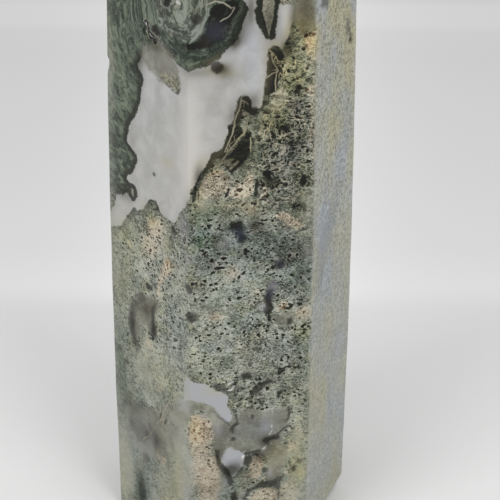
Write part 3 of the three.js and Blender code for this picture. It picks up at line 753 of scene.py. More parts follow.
# Threads: pale mineral strings that hang in the clear parts.
threads = [
    string((20.5, 52.1), (19.9, 51), (19, 49.9), (18.1, 48.8), (17.8, 48.5)),
    string((19, 52.2), (18.8, 51.1), (18.4, 50), (18, 49.2)),
    string((19.7, 55), (19.5, 54), (19.2, 53.1), (19.1, 52.3)), string((19.7, 55), (20.3, 54.6)),
    string((20.6, 53.1), (20.5, 52.1)), string((20.8, 50.4), (20.9, 49.2)),
    string((23.1, 60.1), (23.6, 59.6), (24, 59), (24.5, 59.1), (25, 59)),
    string((23.1, 59.8), (23.4, 58.9), (23.7, 58.2), (23.8, 57.7)),
    string((22.8, 57.3), (23.3, 57.6), (23.8, 57.8), (24.4, 57.4)),
    string((23.7, 57.6), (23.7, 56.8), (23.6, 56.2)),
    string((16.2, 65.6), (17, 65.9), (17.9, 65.6), (18.7, 65)),
    string((18.9, 64.8), (18.4, 64.2), (17.7, 63.8)), string((10.1, 16.6), (10.7, 16.2)),
    string((9, 15.5), (8.7, 13.8), (8.9, 12.2)), string((11.6, 19.4), (11, 17.6)),
    string((11.3, 18.9), (10, 17.3), (9, 15.5), (8.3, 14.6), (7.3, 13), (6.5, 12), (5.4, 10.5))]
thread_gap = np.min([near for near, _ in threads], axis=0)
thread_side = np.take_along_axis(np.array([side for _, side in threads]),
                                 np.argmin([near for near, _ in threads], axis=0)[None], 0)[0]

# Soft fields: how creamy, rusty, leaf green or frosted blue the stone is, how much of a grey veil
# lies over it, how light and how brown it is, how dark a rim the milk has, how hazy, coarse and crisp
# the moss is, with the haze partly a painted pale sheen, and where the milk has a painted glow.
# A strength below 0 takes some of that away.
clumps = deepest(
    patch((14.9, 45.1), (15.3, 45.9), (15.9, 46.5), (16.6, 47.1), (17.4, 47.4), (18, 47), (18.5, 46.4),
          (18.4, 45.4), (18.2, 44.6), (17.2, 44.1), (16, 43.9), (15.1, 44.2)),
    patch((18.2, 44.2), (18.6, 45), (19.3, 45.5), (20, 45.7), (20.6, 46.4), (21.3, 46.4), (21.3, 45.6),
          (21.2, 44.4), (20.8, 43.6), (20, 43.6), (19, 43.8)),
    patch((22, 43.6), (22, 44.6), (22.1, 45.4), (22.6, 45.2), (22.9, 44.5), (22.8, 43.7)),
    patch((23.3, 41.5), (23.8, 41.9), (24.6, 41.9), (25.4, 41.5), (25.9, 41), (26.4, 40.6), (27, 40.3),
          (26.6, 39.8), (25.9, 39.6), (25, 39.9), (24.6, 40.5), (23.9, 41), (23.5, 41.1)),
    patch((9.6, 35.8), (10.6, 35.9), (11, 35), (10.6, 34), (10, 33.4), (9.6, 32.6), (9, 31.6),
          (8.6, 30.6), (8.2, 31), (8.6, 32.4), (9.2, 33.6), (9.4, 34.6)),
    patch((21.2, 9.2), (21, 10.2), (21.4, 11.2), (21.8, 11.8), (22.4, 11.5), (22.6, 10.4), (22.3, 9.2),
          (22, 8.4)),
    patch((20.8, 4.5), (21, 5.8), (21.8, 6.8), (23, 7.2), (24.2, 7), (24.4, 5.8), (24.2, 4.5)),
    patch((25.7, 12), (25.8, 12.8), (26.4, 12.8), (26.6, 12.1), (26.1, 11.7)),
    patch((7.4, 9.6), (8.2, 10), (9.2, 9.9), (9.4, 9), (8.8, 8.5), (8, 8.7)),
    patch((14.1, 17.2), (15, 17.6), (15.8, 17.3), (16.3, 16.2), (16.4, 14.8), (16, 13.9), (14.9, 13.9),
          (14, 14.6)))
cream = np.clip(2.5 * clumps + 0.3, 0, 1.1) + glows(
    (16.2, 43.2, 1.2, 0.8, 0.35), (20.9, 41.9, 0.9, 0.8, 0.3), (27.3, 9, 0.5, 1, 0.5),
    (20.7, 46.9, 0.8, 0.4, 0.5), (21, 42.4, 1.6, 0.8, 0.35), (17.5, 43.6, 0.4, 0.3, 0.5),
    (27.7, 60.7, 0.9, 1.6, 1.2), (24, 55.3, 0.7, 0.8, 0.6), (23.7, 58.3, 0.3, 0.5, 0.6),
    (19, 35, 0.9, 1.2, 0.8), (21.7, 32.3, 0.6, 0.5, 0.6), (16.9, 29.9, 1.2, 0.9, 0.9),
    (24.6, 30.6, 0.8, 0.6, 0.9), (27.1, 29.6, 1, 1.2, 0.8), (7.4, 36.6, 1.4, 2.2, 0.8),
    (8, 38.5, 1, 1, 0.8), (9.6, 39, 1.6, 1.6, 0.5), (10, 34.6, 0.6, 0.9, 1), (9.7, 33.6, 0.5, 0.6, 0.9),
    (9, 32.6, 0.4, 0.6, 0.9), (8.4, 30.9, 0.4, 0.7, 0.7), (14.6, 15.3, 1.4, 1.8, 1),
    (16.4, 15.8, 0.5, 0.9, 0.7), (16.8, 10.4, 0.7, 2, 0.7), (15, 12, 1.6, 2.5, 0.7),
    (20.2, 8.7, 1.1, 1.2, 0.5), (15.7, 8.5, 1.8, 2.8, 0.8), (16.2, 4.5, 1.8, 2.8, 0.8),
    (21.7, 9.8, 0.8, 1.8, 0.8), (22.8, 5.8, 1.8, 0.9, 1), (26.6, 14.6, 1, 1.2, 0.7),
    (26.4, 11.8, 1.6, 1.6, 0.5), (25.5, 9, 0.6, 0.3, 0.5), (26.3, 6, 1.6, 2.6, 0.6),
    (6.7, 23.8, 0.7, 0.6, 1), (5.2, 29.3, 0.5, 0.4, 0.5), (8.3, 18.6, 1, 0.8, 0.4),
    (19.8, 25.6, 1.5, 0.9, 0.4), (4.5, 33.5, 2.8, 3, 0.3), (12.5, 66, 1, 1, 0.3),
    (24.5, 66, 1, 0.9, 0.7), (28.6, 55, 0.7, 14, 0.5), (41.5, 60, 1, 9, 0.7), (28.4, 20, 0.5, 30, 0.3),
    (41.6, 30, 0.8, 30, 0.4), (8.3, 9.5, 1.2, 0.7, 0.4), (27.6, 52, 0.5, 6, 0.4),
    (27.6, 55.5, 0.6, 1, 0.5))
rust = glows(
    (27.5, 61, 0.6, 1.1, 1.3), (10.4, 35.2, 0.7, 0.8, 1), (14.8, 15.4, 1.3, 1.8, 1.2),
    (15.4, 10, 1.4, 3, 0.5), (27, 28.8, 0.7, 0.6, 0.9), (8.4, 18.8, 0.7, 0.6, 0.9),
    (24.5, 30.4, 0.6, 0.4, 0.8), (27.8, 9.2, 0.3, 0.6, 0.9), (10, 34, 0.5, 0.5, 0.6),
    (17.5, 30, 0.7, 0.8, 0.3), (25, 41.2, 1, 0.7, 0.7), (22.3, 11.3, 0.5, 0.5, 0.7),
    (27.2, 55.9, 0.5, 0.5, 0.6), (27.4, 50.6, 0.4, 0.6, 0.5), (7.6, 38.3, 0.5, 0.5, 0.5),
    (21.4, 8, 0.5, 0.5, 0.5))
leaf = glows(
    (21.5, 38.3, 5.5, 3, 0.45), (16.2, 42.4, 1.6, 1, 0.5), (19, 33, 5, 4, 0.25), (1.5, 53, 4, 7, 1),
    (1, 45, 3.2, 5, 1), (17, 60, 4, 1.6, 1), (13, 60, 2, 1.6, 1), (15.5, 39.3, 1.5, 0.9, 1.4),
    (15.2, 41.4, 1.2, 1.5, 1.3), (16.3, 42.8, 1.6, 1.2, 0.9), (16, 38, 2, 1.5, 0.7),
    (26.5, 34.3, 1.5, 1.8, 1.1), (19.2, 29.3, 1.1, 0.8, 0.8), (22, 29.8, 0.6, 0.8, 0.6),
    (1, 18, 1.1, 6, 0.9), (4, 2, 1.4, 3, 0.9), (20, 35, 7, 10, 0.2), (11, 27, 3, 6, 0.3),
    (24.4, 49, 3, 5, 1.5), (25.2, 48.4, 0.8, 0.7, 0.6), (25.4, 57, 1, 2, 0.5),
    (24.6, 44.5, 1.5, 1, 0.7), (10, 29.5, 0.8, 0.8, 0.6), (15, 12.7, 0.6, 0.6, 0.5))
frost = glows(
    (15.5, 20, 4, 3, 1), (18.8, 14, 2.5, 5, 1), (23, 14, 2, 2, 0.8), (19.6, 39.6, 1.2, 1.4, 0.8),
    (23.3, 32.4, 1, 1.6, 0.9), (24.3, 35.7, 1, 0.7, 1), (17, 62.6, 2, 1.6, 0.7),
    (31.5, 37, 2.6, 5, 0.8), (30.8, 65, 1, 2.2, 1), (40, 63, 2.6, 4, 0.7), (24.6, 51.5, 0.8, 0.6, 0.4))
veil = glows(
    (22.8, 15.4, 0.7, 1, 0.6), (23.5, 9.1, 0.4, 0.7, 0.7), (12.3, 18, 0.8, 0.8, 0.6),
    (15.5, 17.3, 0.45, 0.35, 0.8), (17.2, 15.4, 0.6, 1, 0.5), (1.6, 9.7, 0.4, 0.5, 0.5),
    (7, 11.2, 0.8, 0.9, 0.4), (23.5, 33.1, 0.5, 0.5, 0.6), (13.7, 33, 0.6, 0.6, 0.4),
    (22.3, 30.4, 0.5, 0.6, 0.5), (13, 40.5, 0.8, 1.4, 0.5), (18.3, 38.7, 0.9, 0.8, 0.3),
    (30, 60.5, 0.8, 0.5, 0.5), (33.5, 58, 0.6, 1, 0.5), (41, 60.5, 0.9, 3, 0.6),
    (31, 37, 1.6, 3.5, 0.7), (18, 8.4, 0.3, 0.8, 0.5), (20, 6.4, 0.4, 0.5, 0.5))
tone = glows(
    (25, 49, 3, 6.5, -1.2), (26, 56.6, 1.8, 2.6, -0.15), (16, 42.6, 1.4, 1, 0.3),
    (26, 37, 2.4, 3, -0.5), (22, 38, 3, 2, -0.3), (16, 38.5, 2.6, 2.6, -0.3), (3.5, 53, 5, 7, -0.04),
    (1, 45, 3, 4, -0.5), (3, 63, 6, 4, -0.75), (17.5, 60.5, 4.5, 1.6, -0.9), (12, 60.5, 2.4, 1.4, -0.8),
    (20, 63.5, 0.8, 3, -0.8), (18.5, 32.5, 3, 4, 0.42), (6, 34, 4, 3.4, 0.55), (8, 21, 4, 4, 0.35),
    (4.5, 26, 4, 4, 0.25), (12.5, 33, 2, 4, 0.3), (11.5, 27, 2.2, 4, 0.22), (18, 44.8, 3, 1.2, -0.5),
    (26.5, 10, 2.5, 7, 0.28), (22, 20, 3, 2, -0.2), (1, 17, 1.5, 6, -0.3), (17.6, 66.6, 2.6, 1.8, -0.9),
    (9.6, 65, 2, 2, -0.3), (24.5, 44.5, 2.5, 1.2, -0.4), (15.7, 10, 1.6, 6, 0.05))
brown = glows(
    (26.6, 64.5, 1.2, 3.5, 1), (17.3, 59.6, 2.6, 0.9, 1), (18.3, 57.9, 1.4, 0.7, 0.5),
    (17.5, 48, 1.2, 3, 0.9), (22.5, 58, 1, 3, 0.8), (19.5, 54, 1, 2, 0.7), (24, 13.5, 1, 1, 0.4),
    (10, 58.5, 1.8, 2, 0.25), (17.4, 20.7, 1, 0.6, 1), (6.5, 28, 2, 2.6, 0.5),
    (10.5, 47.7, 1.6, 0.7, 0.3), (19.7, 9.1, 0.6, 0.6, 0.8), (24.5, 31, 1, 1, 0.4))
rimmed = glows(
    (4.5, 51, 4.5, 12, 1.4), (17, 47.5, 2.4, 4, 1.1), (16.5, 60, 4, 1.6, 0.9), (20.4, 54, 1.6, 2.4, 1),
    (22.5, 58, 1.2, 3, 0.9), (8.5, 41.5, 5, 1.6, 0.45), (1.5, 37, 3, 1.4, 0.4), (22.7, 63.5, 2.2, 4, 1),
    (20.5, 64, 1, 4, 0.9), (18.8, 18, 1, 2.2, 0.4), (3.5, 43, 2.5, 2, 0.5))
plain_around = plain_marks[..., 0]
inside_right = np.minimum(plain_around - RIGHT_FACE_STARTS, RIGHT_FACE_ENDS - plain_around)
right_side = np.clip(inside_right / RIGHT_FACE_SOFT, 0, 1)
# Haze: the right face's own pale streaked haze, together with a painted pale sheen where that face is
# seen at a grazing angle, and painted sheen low on the left face and along its left edge.
haze_and_sheen = 0.85 * right_side + glows(
    (9, 3.5, 3, 7, 0.7), (12.6, 9, 1.4, 8, 0.5), (1.4, 9, 1.4, 7, 0.5), (0.3, 30, 0.9, 40, 0.45))
coarse = glows(
    (35.5, 56, 7, 22, 2.4), (32.5, 37, 2.6, 3.6, -1.2), (25, 52, 4, 9, 1), (20, 44.5, 4, 3, 0.55),
    (22, 20.5, 3.5, 2.5, 0.7), (27, 30, 2, 4, 0.3))
crisp = 1.05 + glows(
    (17.6, 8.6, 1.3, 4.5, -0.6), (20.2, 8.8, 1.2, 1.6, -0.5), (22, 3, 6, 5, -0.2), (25, 52, 4, 7, -0.1),
    (16, 7, 2, 5, -0.15), (23, 6, 5, 6, -0.2), (4, 8, 9, 9, -0.6), (2, 24, 4, 14, -0.4),
    (35, 33, 7, 60, -0.4), (18, 45.2, 3.4, 1, 0.35), (9, 34, 3.4, 5, 0.5), (3, 34, 3, 6, -0.1),
    (22, 21, 4, 3, 0.2), (9, 20, 4, 3, -0.3), (26.5, 8, 2.5, 6, -0.45), (21, 26, 6, 4, 0.42),
    (24, 33, 3.5, 4, 0.2))
# Painted glow: the milk is lighter near the front-left arris, where light comes in through both faces.
painted_milk_glow = glows((14.1, 51, 1.3, 9, 0.9), (13.4, 48, 3.4, 5, 0.4), (16, 19, 2, 3, 0.5))

# Murk: darker where the clear stone is thick or dark behind and takes light from all that lies in it,
# and in places painted soft shade, such as in the milk near its edge. A strength below 0 makes it
# lighter, in places a painted pale sheen near the edges of the faces.
murk_and_painted_light = glows(
    (15, 64.6, 0.8, 1.6, 0.4), (10.5, 64, 1.2, 1.2, 0.3), (19.6, 63.4, 1.2, 2.6, 0.7),
    (23, 63.5, 1, 2.2, 0.6), (25.4, 63.6, 0.5, 2.5, 0.5), (26.9, 65, 0.9, 2.6, 0.5),
    (8.2, 60.2, 1.6, 1.1, 0.5), (11, 61.4, 2.2, 1.2, 0.15), (20.9, 65, 0.5, 2, 0.5),
    (9.5, 64.8, 2, 1.4, 0.2), (16.5, 60.4, 2, 0.6, 0.3), (19, 61.4, 0.7, 0.8, 0.7),
    (20.3, 60.2, 0.9, 0.8, -0.3), (24.9, 60.3, 0.8, 1.2, 0.8), (8.8, 59.3, 1.2, 1, 0.25),
    (14.5, 58.3, 2.6, 0.7, 0.35), (18.2, 58.2, 0.9, 1, 0.3), (5.9, 57.8, 0.8, 1, 0.4),
    (17.4, 58.6, 0.9, 0.6, 0.6), (23.4, 58.6, 1.2, 2.2, 0.4), (5.6, 56, 0.8, 2.5, 0.4),
    (4.6, 55.5, 1.6, 2.6, 0.15), (26, 55.6, 1.1, 1.4, 0.5), (20.4, 54.3, 0.9, 1.2, 0.7),
    (18.8, 53.4, 0.5, 1.2, 0.3), (21.6, 52.5, 1.6, 0.7, 0.5), (27.3, 53, 0.6, 0.7, 0.4),
    (24.4, 51.6, 1, 0.7, 0.5), (26, 49.7, 1.8, 1.1, 0.4), (17.8, 48.2, 1.4, 1.1, 0.4),
    (19.4, 48.6, 1.2, 1.6, 0.6), (15.1, 46.4, 0.6, 1.6, 0.7), (18.2, 46.3, 0.5, 0.4, 0.4),
    (22.6, 45.7, 0.6, 1, 0.6), (23.6, 45.3, 0.9, 0.7, 0.8), (26.7, 45.4, 0.8, 1, 0.4),
    (2, 47.5, 1.2, 2, 0.2), (1.6, 41.4, 1.6, 0.6, 0.5), (14, 42.5, 0.7, 1.8, 0.35),
    (26.5, 42.2, 1, 0.7, 0.4), (21.5, 40.4, 1, 0.8, 0.8), (19.1, 40.7, 0.9, 0.8, 0.3),
    (19.8, 39.3, 0.8, 0.8, 0.3), (17.6, 40.3, 1, 0.8, 0.25), (11.3, 39.4, 0.5, 0.9, 0.5),
    (25.5, 37.4, 1.4, 1.2, 0.35), (20.2, 37.4, 1.2, 1.2, 0.35), (24.4, 35.8, 1.1, 0.9, 0.4),
    (22, 35.5, 0.9, 0.6, 0.3), (16, 35.8, 1.2, 0.8, 0.35), (27, 34.3, 1, 1.2, 0.35),
    (14.6, 33.7, 0.9, 0.8, 0.5), (27, 31.5, 0.7, 0.9, 0.3), (13.6, 33.2, 0.5, 0.6, 0.4),
    (6.8, 31, 0.7, 0.4, 0.5), (13.9, 29.8, 0.7, 0.6, 0.6), (25.2, 28.4, 1, 0.8, 0.3),
    (6.2, 28, 1.3, 1.6, 0.5), (7.5, 25.6, 0.5, 1, 0.8), (3.7, 25.2, 0.45, 1.7, 0.7),
    (4.1, 22.8, 0.5, 0.8, 0.5), (18, 26.4, 1.4, 0.7, 0.3), (24, 24.4, 1, 1, 0.4),
    (24, 26.2, 1, 0.7, 0.2), (26.2, 24, 0.9, 2, 0.25), (17, 23, 1, 0.9, 0.25),
    (23.6, 21, 1.6, 0.7, 0.5), (26.4, 20.4, 0.9, 0.8, 0.35), (21.5, 20.3, 0.9, 0.6, 0.3),
    (20.5, 14.6, 2.2, 1.2, 0.3), (24.6, 16, 1, 1, 0.25), (23, 13.4, 1.2, 0.9, 0.7),
    (22.2, 11.4, 1, 0.8, 0.8), (18.5, 9.7, 0.7, 0.9, 0.8), (20.4, 9.4, 1.2, 1, 0.4),
    (19.7, 10.2, 0.7, 0.9, 0.3), (19.2, 6.2, 0.6, 0.9, 0.6), (25, 6, 0.9, 1, 0.2),
    (22.6, 7.7, 1.2, 0.4, 0.4), (17.2, 12, 0.6, 1, 0.4), (15, 7.6, 0.8, 1, 0.2), (3.4, 14, 2, 1.4, 0.5),
    (7.6, 11, 1.4, 2, 0.3), (2.9, 11.8, 0.6, 1, 0.3), (5.8, 11.5, 0.6, 0.7, 0.35),
    (7.5, 11.3, 0.6, 1, 0.3), (5.6, 8.1, 0.5, 0.7, 0.35), (5.4, 10.2, 1, 1, 0.15),
    (10.8, 14.8, 0.8, 0.4, 0.4), (10.7, 11.6, 0.35, 0.8, 0.35), (7.6, 12.5, 2, 2, 0.2),
    (4.4, 3, 0.9, 2.6, 0.9), (21.5, 57.5, 0.8, 1.5, -0.2), (27.6, 58.8, 0.5, 1.4, -0.35),
    (24.5, 11, 1.2, 1, -0.2), (19, 10.3, 0.8, 0.9, 0.3), (18.7, 12.2, 0.5, 0.6, -0.2),
    (0.7, 54, 0.7, 4, -0.4), (10.5, 52, 1.6, 2.4, -0.25), (9.8, 44.6, 1.4, 1.4, -0.25),
    (15.7, 43.9, 0.9, 1.1, -0.8), (20, 43.4, 0.8, 0.8, -0.15), (3.4, 37.4, 1.6, 0.9, -0.4),
    (4.4, 48, 1, 4, 0.14), (18, 53.5, 2.5, 3.5, 0.12), (17, 57.2, 3, 1.2, 0.15),
    (6.2, 40.6, 0.8, 0.8, -0.5), (9.6, 38.7, 0.7, 0.7, -0.4), (25.4, 39.5, 1.4, 0.5, -0.3),
    (27.4, 37, 0.6, 1.4, -0.5), (17.6, 38.3, 0.6, 0.5, -0.3), (13.8, 36.8, 0.7, 0.9, -0.5),
    (9.9, 36.9, 0.9, 1, -0.8), (12.2, 34.8, 0.9, 1, -0.4), (8, 36.8, 1, 1, -0.2),
    (1.2, 29.8, 1, 1.6, -0.6), (12.6, 31.5, 1.2, 2.4, -0.2), (5.2, 25, 0.5, 1.2, -0.3),
    (6.3, 23.4, 0.9, 0.8, -0.8), (10.5, 22.5, 3, 2.2, -0.45), (5.8, 19.4, 2, 2.2, -0.7),
    (13, 25, 1, 3, -0.2), (20.5, 23, 1.6, 1, -0.3), (23.5, 19.5, 0.8, 0.7, -0.45),
    (13.2, 19.1, 0.8, 1.2, -1.1), (20.5, 24.8, 1.8, 1, -0.3), (15.6, 30.8, 1, 0.8, -0.3),
    (24.4, 55, 0.8, 1.4, -0.6), (23.4, 53.9, 0.9, 0.6, -0.5), (25.2, 53.9, 1, 0.5, 0.6),
    (27.3, 55.1, 0.5, 0.8, -0.3), (27, 42.6, 0.9, 2.2, -0.5), (16.8, 17.6, 0.8, 0.6, -0.3),
    (27, 13.6, 1, 2.4, -0.5), (26.2, 11.6, 0.9, 0.8, -0.35), (27.2, 9, 0.7, 0.9, -0.8),
    (12.4, 10, 1.7, 6, -1.05), (1.1, 5, 1.6, 3.4, -1.6), (26.6, 5.5, 1.6, 3, -0.35),
    (8, 17, 1.4, 0.6, -0.4), (38.7, 59.2, 0.8, 1.3, 0.55), (18, 46, 0.6, 0.6, 0.3),
    (18, 42.2, 0.8, 0.9, 0.35), (21.3, 41.5, 0.9, 0.6, 0.3), (2.8, 40.6, 1.5, 0.8, 0.35),
    (25.8, 48.3, 1.6, 0.6, 0.3), (12.3, 56.8, 1.1, 0.9, 0.2), (21.4, 55, 0.6, 1.2, 0.3),
    (25, 46.5, 0.8, 0.7, -0.35), (22.1, 44.6, 0.5, 0.9, -0.3), (18.6, 30.3, 1.1, 0.9, -0.3),
    (14.6, 30, 1, 0.9, -0.3), (16.7, 17, 0.8, 1, -0.3), (24.3, 20.6, 0.9, 0.8, -0.3),
    (30.9, 62.9, 0.8, 0.4, -0.3), (29.2, 58.5, 0.6, 4, -0.4), (15.6, 43, 1, 0.7, -0.25),
    (39, 59.4, 1, 0.8, 0.12), (39.2, 49.5, 1.3, 4.5, 0.13), (35.8, 34.6, 1.4, 1.2, 0.15),
    (26.4, 9.5, 0.6, 0.8, 0.3))

# The slate notch and the slate vein of the right face, its crack, and a fold in the green lobe.
murk_and_painted_light += 0.72 * cover(patch((29.8, 64), (31, 63.7), (32.2, 63.4), (32.2, 64.8), (31.7, 66), (31.9, 67.4),
                           (31.2, 69.6), (30.7, 68), (30.5, 66.4), (29.9, 65.2)), 2)
murk_and_painted_light += 0.2 * cover(patch((36.6, 43), (35.4, 41), (33, 39.4), (31, 38), (29.4, 36.6), (28.8, 33),
                          (29.4, 30), (31, 30.4), (32.4, 33), (34, 35.6), (36, 38), (37.2, 41)), 1)
murk_and_painted_light += 1.4 * cover(strand(0.4, (39, 58.9), (39.6, 58.2), (40, 57.5), (40.3, 57)), 4)
murk_and_painted_light += 0.25 * cover(strand(0.3, (1, 52), (1.5, 54.5), (2.6, 56.2), (3.6, 57.3), (5, 57.5)), 2.5)

# Warm where iron tints the stone olive and cream, and less than nothing where it is bluish.
warmth = glows(
    (27.2, 61, 1.6, 2.6, 0.5), (25.2, 57.6, 1.6, 1.8, 1.2), (23.6, 60, 1.2, 1.4, 1.6),
    (25.6, 57.4, 1.6, 2.4, 1.8), (23.4, 53, 1.8, 2, 2), (35, 60.5, 6, 4, 2), (38.7, 59.4, 1.1, 2, 6),
    (26, 62.2, 1.6, 1.7, 2.4), (31.6, 36.6, 1, 2.6, -2), (34.4, 38, 1.4, 1.6, -2.5),
    (14.2, 15.8, 0.8, 1.4, 0.8), (26.9, 9.5, 0.8, 2.4, 0.8), (17, 6, 1.3, 2.4, -0.6),
    (19, 10, 1, 0.8, -0.6), (39.6, 56, 1.2, 3, 3), (28.8, 61.5, 1, 1.8, 2.5), (34.7, 63.9, 0.8, 0.8, 4),
    (33.8, 57.5, 1, 1.6, -2), (33.2, 52.6, 1, 1.6, -1.6), (40.8, 61, 1.2, 2.4, -3),
    (37, 48.5, 1.6, 1.4, 1), (32.5, 63, 1.6, 2, 1), (31, 65.2, 0.9, 1.8, -2.5), (36, 48, 5, 3, 0.6),
    (16.6, 47.6, 1.5, 1.2, 1.4), (20, 49.6, 1.4, 3, 1.4), (19, 43, 4, 0.9, 0.9),
    (14.9, 44.2, 0.9, 1.8, 1.3), (17.2, 58.5, 1.4, 0.7, 1.5), (18.6, 57.9, 1.2, 0.35, 0.8),
    (7.5, 39.6, 1.6, 1.2, 1.2), (3, 36, 2.6, 2.6, 1), (2, 29, 1.4, 3, 0.9), (10.4, 37.2, 1, 1, 0.9),
    (10.4, 47.2, 1.2, 0.7, 0.9), (10.8, 34.8, 0.8, 0.8, 0.9), (6, 24, 1, 1, 0.6),
    (8, 20.5, 4, 2.4, 0.6), (14.6, 15, 1.2, 2.6, 0.4), (16.8, 20.4, 1.8, 0.8, 1),
    (20, 18.6, 1.4, 0.7, 0.6), (26.8, 13, 1.3, 4.5, 0.8), (24.4, 12, 1.2, 1, 0.9),
    (27.4, 8.6, 0.9, 1.2, 1), (24, 10.5, 2, 1.6, 0.6), (40, 16.5, 1.8, 3, 1.6),
    (27.2, 27.3, 0.8, 1, 0.8), (16, 24.2, 1.6, 1, 0.5), (26.7, 43, 1, 5, 0.8), (24.4, 49.6, 3, 4, 0.8),
    (31.7, 39.6, 1.8, 3.6, -2.6), (34, 32, 2.5, 2.5, -1), (36.5, 44.5, 2, 2, -0.8),
    (30.8, 6, 2, 3.5, -1.6), (38, 12.5, 2, 1.6, -1), (18.5, 8, 0.9, 1, -0.5), (15.2, 11, 1.2, 3, -0.4),
    (17.6, 7, 1, 2.4, -0.2), (26, 34.6, 2, 2.4, -1.4), (21, 36.5, 2.5, 2.5, -0.8),
    (16, 37.2, 2.6, 1.6, -0.9), (20, 29.4, 1.6, 2, -0.5), (15.6, 35, 1.6, 1, -0.4),
    (24, 38, 3, 1.2, -0.8), (19.5, 33, 2.4, 2, -0.3), (19.8, 39.6, 1.4, 1.2, -2),
    (15.6, 40, 1.8, 0.7, -1.2), (22, 15, 3.5, 1.6, -1.1), (24, 62.5, 0.7, 1.6, -0.8),
    (21, 59, 1, 4, -0.7), (25.2, 48.6, 1.4, 1.5, -1.2), (27.2, 49.6, 0.8, 0.8, -0.8),
    (26, 54.2, 0.8, 0.8, -1), (11.6, 27, 1.8, 3, -0.8), (20.2, 28.2, 1.4, 0.9, -0.8),
    (17.4, 26, 1.4, 0.8, -0.9), (24.4, 25.4, 1.6, 1.6, -0.8), (27, 27, 1.2, 1, 0.8),
    (4, 10, 3.5, 4, -0.8), (4.5, 2.6, 1.6, 2, -1.2), (13.2, 18.4, 1, 0.9, -0.9),
    (24, 17, 0.8, 0.6, -0.6), (21, 11.8, 1.6, 0.6, -0.4), (9, 53, 5, 6, -0.25), (10.4, 63, 4, 3, -0.5),
    (17, 62.5, 4, 3, -0.9), (33, 32, 2.4, 2.4, -1))

# The faces that the picture doesn't show carry the same growths, laid out by chance. What only the
# seen faces have is brought to nothing there, which is a depth below 0 or a strength of 0.
hidden = np.clip((np.abs(plain_around - SEEN_MIDDLE) - SEEN_REACH) / SEEN_FADE, 0, 1)
hidden = np.maximum(hidden, np.clip((points[..., 2] - SEEN_TOP) / SEEN_TOP_FADE, 0, 1))
by_chance = {
    "milk": 5 * (rough(15, 11, 4) - 0.45), "glass": 4 * (rough(14, 20, 4) - 0.4),
    "tuft": 4 * (rough(10, 21, 4) - 0.9), "deep": 2.2 * (rough(6, 12, 4) - 0.85),
    "smoke": 4 * (rough(13, 13, 4) - 0.75), "cream": np.clip(2 * rough(7, 15) - 0.5, 0, 1),
    "rust": np.clip(2.5 * rough(4, 16) - 1.6, 0, 1), "leaf": np.clip(1.6 * rough(12, 17), 0, 1),
    "frost": np.clip(1.5 * rough(18, 18), 0, 1), "tone": 0.6 * rough(9, 19),
    "crisp": 0.8 + 0.3 * rough(16, 22), "murk_and_painted_light": 0.35 * rough(6, 26),
    "coarse": np.clip(0.5 + rough(12, 25), 0, 1), "brown": np.clip(1.5 * rough(8, 23), 0, 1),
    "rimmed": np.clip(0.6 + 0.5 * rough(11, 24), 0, 1), "warmth": rough(12, 27),
    "shade": -1, "holes": -1, "specks": -1, "crystal": -1, "amber": -1, "glint": -1,
    "painted_milk_glow": 0, "haze_and_sheen": 0, "veil": 0}
growths = {
    "milk": milk, "smoke": smoke, "deep": deep, "glass": glass, "tuft": tuft, "thread_gap": thread_gap,
    "thread_side": thread_side, "cream": cream, "rust": rust, "leaf": leaf, "frost": frost, "tone": tone,
    "crisp": crisp, "painted_milk_glow": painted_milk_glow, "haze_and_sheen": haze_and_sheen, "brown": brown, "rimmed": rimmed, "specks": specks,
    "coarse": coarse, "murk_and_painted_light": murk_and_painted_light, "warmth": warmth, "crystal": crystal, "amber": amber, "veil": veil,
    "holes": holes, "shade": shade, "glint": glint}
for name, chance in by_chance.items():
    growths[name] = growths[name] * (1 - hidden) + hidden * chance

vertices = np.concatenate([[[0, 0, 0]], points.reshape(-1, 3),
                           [[TIP_OFFSET[0], TIP_OFFSET[1], TOTAL_HEIGHT]]]) * MM
low = 1 + np.arange((rows - 1) * columns).reshape(rows - 1, columns)
right = np.roll(low, -1, 1)
quads = np.stack([low, right, right + columns, low + columns], -1).reshape(-1, 4)
first = 1 + np.arange(columns)
last = first + (rows - 1) * columns
under = np.stack([np.zeros(columns, int), np.roll(first, -1), first], -1)
over = np.stack([last, np.roll(last, -1), np.full(columns, len(vertices) - 1)], -1)

stone_mesh = bpy.data.meshes.new("polished_stone")
stone_mesh.from_pydata(vertices.tolist(), [], quads.tolist() + under.tolist() + over.tolist())
stone_mesh.shade_smooth()
stone = bpy.data.objects.new("polished_stone", stone_mesh)
bpy.context.scene.collection.objects.link(stone)

for name, field in growths.items():
    layer = stone_mesh.attributes.new(name, "FLOAT", "POINT")
    on_points = np.concatenate([field[0, :1], field.ravel(), field[-1, :1]])
    layer.data.foreach_set("value", on_points.astype(np.float32))


def noise(tree, place, per_mm, detail=2.0, roughness=0.5, distortion=0.0):
    """Noise from 0 to 1, with about that many grains to the mm."""
    made = tree.nodes.new("ShaderNodeTexNoise")
    values = {"Vector": place, "Scale": per_mm, "Detail": detail, "Roughness": roughness,
              "Distortion": distortion}
    for name, value in values.items():
        feed(tree, made.inputs[name], value)
    return made.outputs[0]


def vector(tree, operation, first, second, scale=1.0):
    """One step of arithmetic on two vectors, or on one and a scale."""
    made = tree.nodes.new("ShaderNodeVectorMath")
    made.operation = operation
    feed(tree, made.inputs[0], first)
    feed(tree, made.inputs[1], second)
    made.inputs[3].default_value = scale
    return made.outputs[0]


